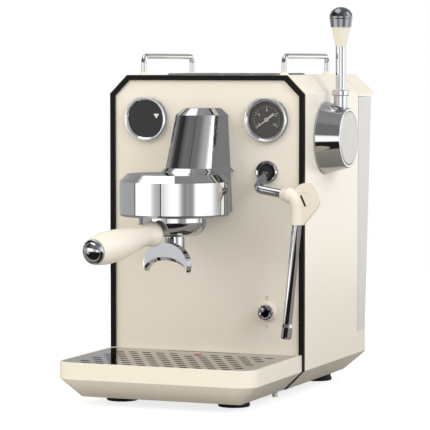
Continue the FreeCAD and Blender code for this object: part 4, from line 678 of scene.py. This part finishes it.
class MACHINE_OT_window_mark(bpy.types.Operator):
    """Small triangle that shows in the round window"""
    bl_idname = "machine.window_mark"
    bl_label = "Window mark"

    def execute(self, context):
        sizes = context.scene.gauge_sizes
        centre = middle_of("display_window")
        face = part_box("display_window")[0].y
        mark = start_point("window_mark", (centre.x + MARK_RIGHT, face, centre.z + MARK_RISE))
        side = sizes.mark_side
        bpy.ops.mesh.extrude_vertices_move(
            TRANSFORM_OT_translate={"value": (side / 2, 0, side * MARK_HEIGHT_SHARE)})
        bpy.ops.mesh.extrude_vertices_move(TRANSFORM_OT_translate={"value": (-side, 0, 0)})
        bpy.ops.mesh.select_all(action="SELECT")
        bpy.ops.mesh.edge_face_add()
        bpy.ops.mesh.extrude_region_move(TRANSFORM_OT_translate={"value": FRONT * sizes.print_depth})
        close_up()
        hand_over(mark, "white_paint", "root")
        return {"FINISHED"}


# The switch's nut from the panel forwards: radius, height and rounding in millimetres
NUT_BORE = 5.0
NUT_RADIUS = 8.75
NUT_PROFILE = ((NUT_BORE, 0, 0), (NUT_RADIUS, 0, 0), (NUT_RADIUS, 4.4, 0), (7.9, 5.0, 0), (6.6, 5.0, 0.3),
               (NUT_BORE, 4.2, 0))
NUT_FLUTES = 72
# Faces less than this inside the nut's radius, in millimetres, get the flutes
FLUTE_BAND = 0.3
# How far from the panel the flutes start, and the rim left round each
FLUTE_START = 1 * MM
FLUTE_GAP = 0.12 * MM
# Each digit at the switch: its piece, what it says, and its height over the switch in millimetres
SWITCH_DIGITS = (("mark_off", "0", 16.4), ("mark_on", "1", -17.9))
SWITCH_DIGITS_LEFT = 1.3 * MM


class MACHINE_OT_switch_trim(bpy.types.Operator):
    """Knurled nut of the switch, and the digits over and under it"""
    bl_idname = "machine.switch_trim"
    bl_label = "Switch trim"

    def execute(self, context):
        sizes = context.scene.gauge_sizes
        centre = rear_middle("switch_nut")
        nut = turn_piece("knurled_nut", NUT_PROFILE, centre, FRONT, ACROSS, steps=NUT_FLUTES)
        outside = (NUT_RADIUS - FLUTE_BAND) * MM
        pick(nut, "FACE", lambda place: math.hypot(place.x - centre.x, place.z - centre.z) > outside
             and abs(place.y - centre.y) > FLUTE_START)
        bpy.ops.mesh.inset(thickness=FLUTE_GAP, use_individual=True)
        bpy.ops.transform.shrink_fatten(value=-sizes.flute_depth)
        close_up()
        hand_over(nut, "chrome", "root")
        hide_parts("switch_nut")
        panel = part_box("front_panel")[0].y
        for name, digit, rise in SWITCH_DIGITS:
            place = (centre.x - SWITCH_DIGITS_LEFT, panel, centre.z + rise * MM)
            add_text(name, digit, sizes.switch_digit, place, sizes.print_depth, "grey_print")
        return {"FINISHED"}


# The wand's finger tab is turned this far forwards from straight across
TAB_YAW = math.radians(12.2)
# Each ridge on the tab: its centre ahead of and above the elbow and its radius in millimetres, and the angles
# in degrees from straight ahead at which it starts and ends
TAB_RIDGES = ((9.05, -2.92, 9.8, 80, -30), (13.0, -3.05, 9.1, 70, -40))
# How far in front of the elbow a ridge stands, half its foot, half its crest and its height, in millimetres
RIDGE_FOOT_FRONT = 1.6
RIDGE_HALF_FOOT = 0.75
RIDGE_HALF_CREST = 0.35
RIDGE_HEIGHT = 0.55
RIDGE_STEPS = 20
# The slit's painted shade, a black strip that stands for the dark inside the slit: its middle from the elbow
# in millimetres, how steeply it runs down, and its size
SLIT_AHEAD = 9.4
SLIT_DROP = 4.2
SLIT_FRONT = 1.45
SLIT_LEAN = math.radians(63)
SLIT_LENGTH = 14.4
SLIT_WIDTH = 2.6
SLIT_ROUNDING = 1.1
SLIT_DEPTH = 0.3
# The way the steam pipe leaves its ball, in millimetres forwards and down
PIPE_WAY = Vector((0, -36, -18.2)).normalized()
# The boot over the ball: its two radii in millimetres, and its corners in degrees from the pipe's way
BOOT_OUTER = 10.3
BOOT_INNER = 9.9
BOOT_ARC = [math.radians(angle) for angle in range(32, 125, 6)]


def add_tab_ridge(name, elbow, ahead, face, shape):
    """A raised rib that bends round the finger tab, closed at both ends"""
    middle, up, radius, start, end = shape
    centre = elbow + ahead * middle * MM + UP * up * MM + face * RIDGE_FOOT_FRONT * MM
    way = ahead * math.cos(math.radians(start)) + UP * math.sin(math.radians(start))
    section = ((radius - RIDGE_HALF_FOOT, 0, 0), (radius - RIDGE_HALF_CREST, RIDGE_HEIGHT, 0),
               (radius + RIDGE_HALF_CREST, RIDGE_HEIGHT, 0), (radius + RIDGE_HALF_FOOT, 0, 0))
    ridge = turn_piece(name, section, centre, face, way, RIDGE_STEPS, -math.radians(start - end))
    bpy.ops.mesh.select_all(action="DESELECT")
    bpy.ops.mesh.select_mode(type="EDGE")
    bpy.ops.mesh.select_non_manifold()
    bpy.ops.mesh.fill()
    bpy.ops.mesh.select_mode(type="VERT")
    close_up()
    hand_over(ridge, "cream_plastic", "steam_wand")


def add_slit_painted_shade(elbow, ahead, face):
    """A thin black strip with round ends in the finger tab's slit: painted shade for the dark inside the slit
    """
    along = ahead * math.cos(SLIT_LEAN) - UP * math.sin(SLIT_LEAN)
    over = ahead * math.sin(SLIT_LEAN) + UP * math.cos(SLIT_LEAN)
    middle = elbow + ahead * SLIT_AHEAD * MM - UP * SLIT_DROP * MM + face * SLIT_FRONT * MM
    slit = start_point("tab_slit_lining", middle)
    corner = -along * (SLIT_LENGTH / 2) * MM - over * (SLIT_WIDTH / 2) * MM
    bpy.ops.transform.translate(value=corner)
    bpy.ops.mesh.extrude_vertices_move(TRANSFORM_OT_translate={"value": along * SLIT_LENGTH * MM})
    bpy.ops.mesh.select_all(action="SELECT")
    bpy.ops.mesh.extrude_edges_move(TRANSFORM_OT_translate={"value": over * SLIT_WIDTH * MM})
    bpy.ops.mesh.select_all(action="SELECT")
    bpy.ops.mesh.bevel(offset=SLIT_ROUNDING * MM, segments=ROUND_SEGMENTS, affect="VERTICES")
    bpy.ops.mesh.select_all(action="SELECT")
    bpy.ops.mesh.extrude_region_move(TRANSFORM_OT_translate={"value": face * SLIT_DEPTH * MM})
    close_up()
    hand_over(slit, "black_rubber", "steam_wand")


def add_ball_boot():
    """A dark shell over the ball that the steam pipe swings on"""
    profile = [(BOOT_OUTER * math.sin(angle), BOOT_OUTER * math.cos(angle), 0) for angle in BOOT_ARC]
    profile += [(BOOT_INNER * math.sin(angle), BOOT_INNER * math.cos(angle), 0)
                for angle in reversed(BOOT_ARC)]
    boot = turn_piece("ball_boot", profile, joint_place("steam_swing"), PIPE_WAY, ACROSS)
    hand_over(boot, "black_rubber", "steam_arm")


class MACHINE_OT_steam_trim(bpy.types.Operator):
    """Ridges and the slit's painted shade on the wand's finger tab, and the boot over the steam pipe's ball
    """
    bl_idname = "machine.steam_trim"
    bl_label = "Steam trim"

    def execute(self, context):
        elbow = joint_place("steam_tilt")
        ahead = Vector((math.cos(TAB_YAW), -math.sin(TAB_YAW), 0))
        face = ahead.cross(UP)
        for number, shape in enumerate(TAB_RIDGES):
            add_tab_ridge(f"tab_ridge_{number}", elbow, ahead, face, shape)
        add_slit_painted_shade(elbow, ahead, face)
        add_ball_boot()
        return {"FINISHED"}


# A ramp's colours stop at 1, so they hold the brightness over this, and the light's strength gives it back
RAMP_TOP = 2.0


def studio_ramp(tree, azimuth, stops):
    """Brightness round the horizon, in stops of degrees from the machine's front and brightness"""
    turn = add_node(tree, "ShaderNodeMapRange", {"From Min": -math.pi, "From Max": math.pi},
                    {"Value": azimuth})
    ramp = add_node(tree, "ShaderNodeValToRGB", None, {"Fac": turn.outputs["Result"]})
    elements = ramp.color_ramp.elements
    elements.remove(elements[1])
    for index, (degrees, brightness) in enumerate(stops):
        element = elements[0] if index == 0 else elements.new((degrees + 180) / 360)
        element.color = with_alpha([brightness / RAMP_TOP] * 3)
    return ramp.outputs["Color"]


# Degrees from the machine's front towards its right, and brightness, where 1 is white paper
SOFTBOXES_LEVEL = (
    (-180, 0.5), (-90, 0.6), (-69.5, 0.6), (-68.8, 0), (-67.2, 0), (-66.5, 1.95), (-31, 1.95), (-26, 1.35),
    (-22, 1.0), (-15, 0.75), (-7.5, 0.67), (-6.8, 0), (-5.4, 0), (-4.6, 1.6), (-2, 1.12), (3, 1.4),
    (15, 1.8), (28, 1.85), (32, 1.43), (37, 0.77), (43, 0.4), (50, 0.53), (56, 0.45), (62, 0.65),
    (67, 1.7), (71, 1.9), (102, 1.9), (114, 1.25), (120, 0.85), (150, 1.55), (170, 1.55), (180, 0.5),
)
SOFTBOXES_ABOVE = (
    (-180, 0.6), (-110, 0.4), (-80, 0.06), (-58, 0.04), (-50, 0.12), (-30, 0.25), (6, 0.22), (8.5, 0.04),
    (11, 0.25), (40, 0.28), (62, 0.6), (84, 0.8), (98, 1.9), (125, 1.9), (140, 0.4), (180, 0.5),
)
SOFTBOXES_TOP = ((-180, 0.5), (-150, 0.4), (-140, 1.95), (-4, 1.95), (-1, 0.4), (60, 0.35), (180, 0.4))
# Each upper ring of softboxes, and the heights between which it takes over from the one under it, where 1 is
# straight up
UPPER_SOFTBOXES = ((SOFTBOXES_ABOVE, 0.08, 0.2), (SOFTBOXES_TOP, 0.7, 0.8))


def seen_directly(tree):
    """The light path's node, and a value that is 1 for what the camera sees plainly or through glass"""
    rays = add_node(tree, "ShaderNodeLightPath")
    seen = add_node(tree, "ShaderNodeMath", {"operation": "MAXIMUM"},
                    {0: rays.outputs["Is Camera Ray"], 1: rays.outputs["Is Transmission Ray"]})
    return rays, seen.outputs["Value"]


def light_room(settings):
    """White room: plain for matt surfaces, with softboxes for gloss to reflect, white to the camera"""
    world = bpy.data.worlds.new("studio")
    bpy.context.scene.world = world
    world.use_nodes = True
    tree = world.node_tree
    tree.nodes.clear()
    way = add_node(tree, "ShaderNodeSeparateXYZ", None,
                   {"Vector": add_node(tree, "ShaderNodeTexCoord").outputs["Generated"]})
    front = add_node(tree, "ShaderNodeMath", {"operation": "MULTIPLY", 1: -1.0}, {0: way.outputs["Y"]})
    azimuth = add_node(tree, "ShaderNodeMath", {"operation": "ARCTAN2"},
                       {0: way.outputs["X"], 1: front.outputs["Value"]}).outputs["Value"]
    height = way.outputs["Z"]
    glow = studio_ramp(tree, azimuth, SOFTBOXES_LEVEL)
    for stops, low, high in UPPER_SOFTBOXES:
        rise = add_node(tree, "ShaderNodeMapRange",
                        {"interpolation_type": "SMOOTHSTEP", "From Min": low, "From Max": high},
                        {"Value": height})
        mixed = add_node(tree, "ShaderNodeMix", {"data_type": "RGBA"}, {
            0: rise.outputs["Result"], 6: glow, 7: studio_ramp(tree, azimuth, stops)})
        glow = mixed.outputs[2]
    softboxes = add_node(tree, "ShaderNodeBackground", {"Strength": RAMP_TOP}, {"Color": glow})
    room = add_node(tree, "ShaderNodeBackground",
                    {"Color": with_alpha(settings.room_tint), "Strength": settings.ambient})
    white = add_node(tree, "ShaderNodeBackground", {"Color": (1, 1, 1, 1), "Strength": 1.0})
    rays, seen = seen_directly(tree)
    gloss = add_node(tree, "ShaderNodeMixShader", None, {
        0: rays.outputs["Is Glossy Ray"], 1: room.outputs["Background"], 2: softboxes.outputs["Background"]})
    shown = add_node(tree, "ShaderNodeMixShader", None, {
        0: seen, 1: gloss.outputs["Shader"], 2: white.outputs["Background"]})
    add_node(tree, "ShaderNodeOutputWorld", None, {"Surface": shown.outputs["Shader"]})


# The floor's paper: its colour, the light that lifts it to white where it is seen, and its radius in metres
PAPER = "#989694"
PAPER_LIFT = 0.8
FLOOR_RADIUS = 1.7


def floor_paper():
    """White paper floor that runs out to pure white, and keeps the machine's shadow"""
    material, tree, shader, place = start_material("floor_paper", linear(PAPER), Roughness=0.9)
    vary_colour(tree, shader, place, linear(PAPER), size_mm=300, depth=0.005)
    shader.inputs["Emission Color"].default_value = (1, 1, 1, 1)
    _, seen = seen_directly(tree)
    lift = add_node(tree, "ShaderNodeMath", {"operation": "MULTIPLY", 1: PAPER_LIFT}, {0: seen})
    tree.links.new(lift.outputs["Value"], shader.inputs["Emission Strength"])
    return material


def add_floor(height):
    """A round sheet of paper under the machine"""
    bpy.ops.mesh.primitive_circle_add(
        vertices=64, radius=FLOOR_RADIUS, fill_type="NGON", location=(0, 0, height))
    floor = bpy.context.object
    floor.name = "floor"
    floor.data.materials.append(floor_paper())
    floor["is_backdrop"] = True


def add_card(name, brightness, low, high):
    """A flat card that only the chrome sees, from one corner to the other"""
    low, high = Vector(low), Vector(high)
    bpy.ops.mesh.primitive_cube_add(size=1, location=(low + high) / 2, scale=high - low)
    card = bpy.context.object
    card.name = name
    material, _, shader, _ = start_material(name, (0, 0, 0), Roughness=1.0, Specular_IOR_Level=0)
    shader.inputs["Emission Color"].default_value = (brightness, brightness, brightness, 1)
    shader.inputs["Emission Strength"].default_value = 1
    card.data.materials.append(material)
    card.visible_camera = card.visible_diffuse = card.visible_shadow = card.visible_transmission = False
    card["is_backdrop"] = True


# How bright each card is, where 1 is white paper
FLOOR_CARD_GLOW = 0.02
SPOUT_CARD_GLOW = 0.95
GROUP_CARD_GLOW = 0.3
# Two corners of the dark card on the floor, in metres
FLOOR_CARD = ((-0.7, -1.3, 0.001), (0.9, -0.33, 0.002))
# The pale card left of the spout and in front of it: two corners from the spout's lowest corner, in metres,
# its foot under the spout's foot, and its top under the spout's top
SPOUT_CARD_LEFT = (0.24, 0.12)
SPOUT_CARD_AHEAD = (0.21, 0.208)
SPOUT_CARD_FOOT = 22 * MM
SPOUT_CARD_TOP = 16 * MM
# The grey card just in front of the panel: its gap and thickness, its margin at the panel's sides, how far it
# reaches under the group's cover, and how far it stays under the panel's top
GROUP_CARD_GAP = 0.4 * MM
GROUP_CARD_THICKNESS = 0.2 * MM
GROUP_CARD_MARGIN = 8 * MM
GROUP_CARD_UNDER = 60 * MM
GROUP_CARD_TOP = 24 * MM


def add_cards():
    """Cards for the chrome: dark on the floor in front, pale by the spout, and grey behind the brew group"""
    panel_low, panel_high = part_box("front_panel")
    cover_low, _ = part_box("group_cover")
    spout_low, spout_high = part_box("crescent_spout")
    add_card("floor_card", FLOOR_CARD_GLOW, *FLOOR_CARD)
    add_card("spout_card", SPOUT_CARD_GLOW,
             (spout_low.x - SPOUT_CARD_LEFT[0], spout_low.y - SPOUT_CARD_AHEAD[0],
              spout_low.z - SPOUT_CARD_FOOT),
             (spout_low.x - SPOUT_CARD_LEFT[1], spout_low.y - SPOUT_CARD_AHEAD[1],
              spout_high.z - SPOUT_CARD_TOP))
    front = panel_low.y - GROUP_CARD_GAP
    add_card("group_card", GROUP_CARD_GLOW,
             (panel_low.x + GROUP_CARD_MARGIN, front - GROUP_CARD_THICKNESS, cover_low.z - GROUP_CARD_UNDER),
             (panel_high.x - GROUP_CARD_MARGIN, front, panel_high.z - GROUP_CARD_TOP))


# Each lamp aimed at the machine: its name, the tint that it takes, and its place in metres
LAMPS = (
    ("key", "lamp_tint", (2.0, -0.9, 1.5)),
    ("fill", "room_tint", (-1.3, -2.2, 1.5)),
    ("left", "room_tint", (-2.2, -0.9, 0.9)),
    ("low_right", "lamp_tint", (1.6, -1.9, 0.3)),
    ("low_left", "room_tint", (-0.9, -2.4, 0.25)),
)
LAMP_SIZE = 1.2
# The panel on the floor that lights the undersides, and the point above it that it faces
BOUNCE_SIZE = 0.6
BOUNCE_PLACE = (-0.1, -0.47, 0.01)
BOUNCE_TARGET = (-0.1, -0.46, 1)
# Width of the camera's sensor in millimetres
SENSOR_WIDTH = 36


def add_lamp(name, power, tint, size, place, target):
    """A soft square lamp at a place, aimed at a target"""
    aim = (Vector(target) - Vector(place)).to_track_quat("-Z", "Y").to_euler()
    bpy.ops.object.light_add(type="AREA", location=place, rotation=aim)
    lamp = bpy.context.object
    lamp.name = name
    lamp.data.energy = power
    lamp.data.color = tint
    lamp.data.size = size
    lamp.visible_glossy = lamp.visible_camera = False


class MACHINE_OT_stage(bpy.types.Operator):
    """Set the floor, room, lamps and camera"""
    bl_idname = "machine.stage"
    bl_label = "Stage"

    def execute(self, context):
        settings = context.scene.studio
        low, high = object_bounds()
        middle = (low + high) / 2
        add_floor(low.z)
        add_cards()
        light_room(settings)
        for name, tint, place in LAMPS:
            add_lamp(name, getattr(settings, name), getattr(settings, tint), LAMP_SIZE, place, middle)
        add_lamp("bounce", settings.bounce, settings.room_tint, BOUNCE_SIZE, BOUNCE_PLACE, BOUNCE_TARGET)
        turn = (math.pi / 2 - settings.elevation, 0, settings.azimuth)
        bpy.ops.object.camera_add(location=settings.position, rotation=turn)
        camera = context.object
        camera.data.lens = settings.lens
        camera.data.sensor_width = SENSOR_WIDTH
        context.scene.camera = camera
        context.scene.view_settings.view_transform = "Standard"
        return {"FINISHED"}


class MACHINE_PT_parts(bpy.types.Panel):
    """The machine's pieces, finishes and stage"""
    bl_label = "Espresso machine"
    bl_idname = "MACHINE_PT_parts"
    bl_space_type = "VIEW_3D"
    bl_region_type = "UI"
    bl_category = "Machine"

    def draw(self, context):
        for step in STEPS:
            self.layout.operator(step)
        for group in (context.scene.machine_colours, context.scene.gauge_sizes, context.scene.studio):
            for name in group.bl_rna.properties.keys():
                if name not in ("rna_type", "name"):
                    self.layout.prop(group, name)


STEPS = ("machine.finishes", "machine.bezels", "machine.dial_print", "machine.spout", "machine.window_mark",
         "machine.switch_trim", "machine.steam_trim", "machine.stage")
CLASSES = (
    MachineColours, GaugeSizes, StudioSettings, MACHINE_OT_finishes, MACHINE_OT_bezels, MACHINE_OT_dial_print,
    MACHINE_OT_spout, MACHINE_OT_window_mark, MACHINE_OT_switch_trim, MACHINE_OT_steam_trim, MACHINE_OT_stage,
    MACHINE_PT_parts,
)


def register():
    for kind in CLASSES:
        bpy.utils.register_class(kind)
    bpy.types.Scene.machine_colours = bpy.props.PointerProperty(type=MachineColours)
    bpy.types.Scene.gauge_sizes = bpy.props.PointerProperty(type=GaugeSizes)
    bpy.types.Scene.studio = bpy.props.PointerProperty(type=StudioSettings)


def unregister():
    del bpy.types.Scene.studio
    del bpy.types.Scene.gauge_sizes
    del bpy.types.Scene.machine_colours
    for kind in reversed(CLASSES):
        bpy.utils.unregister_class(kind)


def run_step(step):
    """Call an operator by its name, with nothing selected"""
    bpy.ops.object.select_all(action="DESELECT")
    group, name = step.split(".")
    getattr(getattr(bpy.ops, group), name)()


def main():
    """Register the classes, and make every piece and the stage"""
    register()
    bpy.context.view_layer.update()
    for step in STEPS:
        run_step(step)


if __name__ == "__main__":
    main()
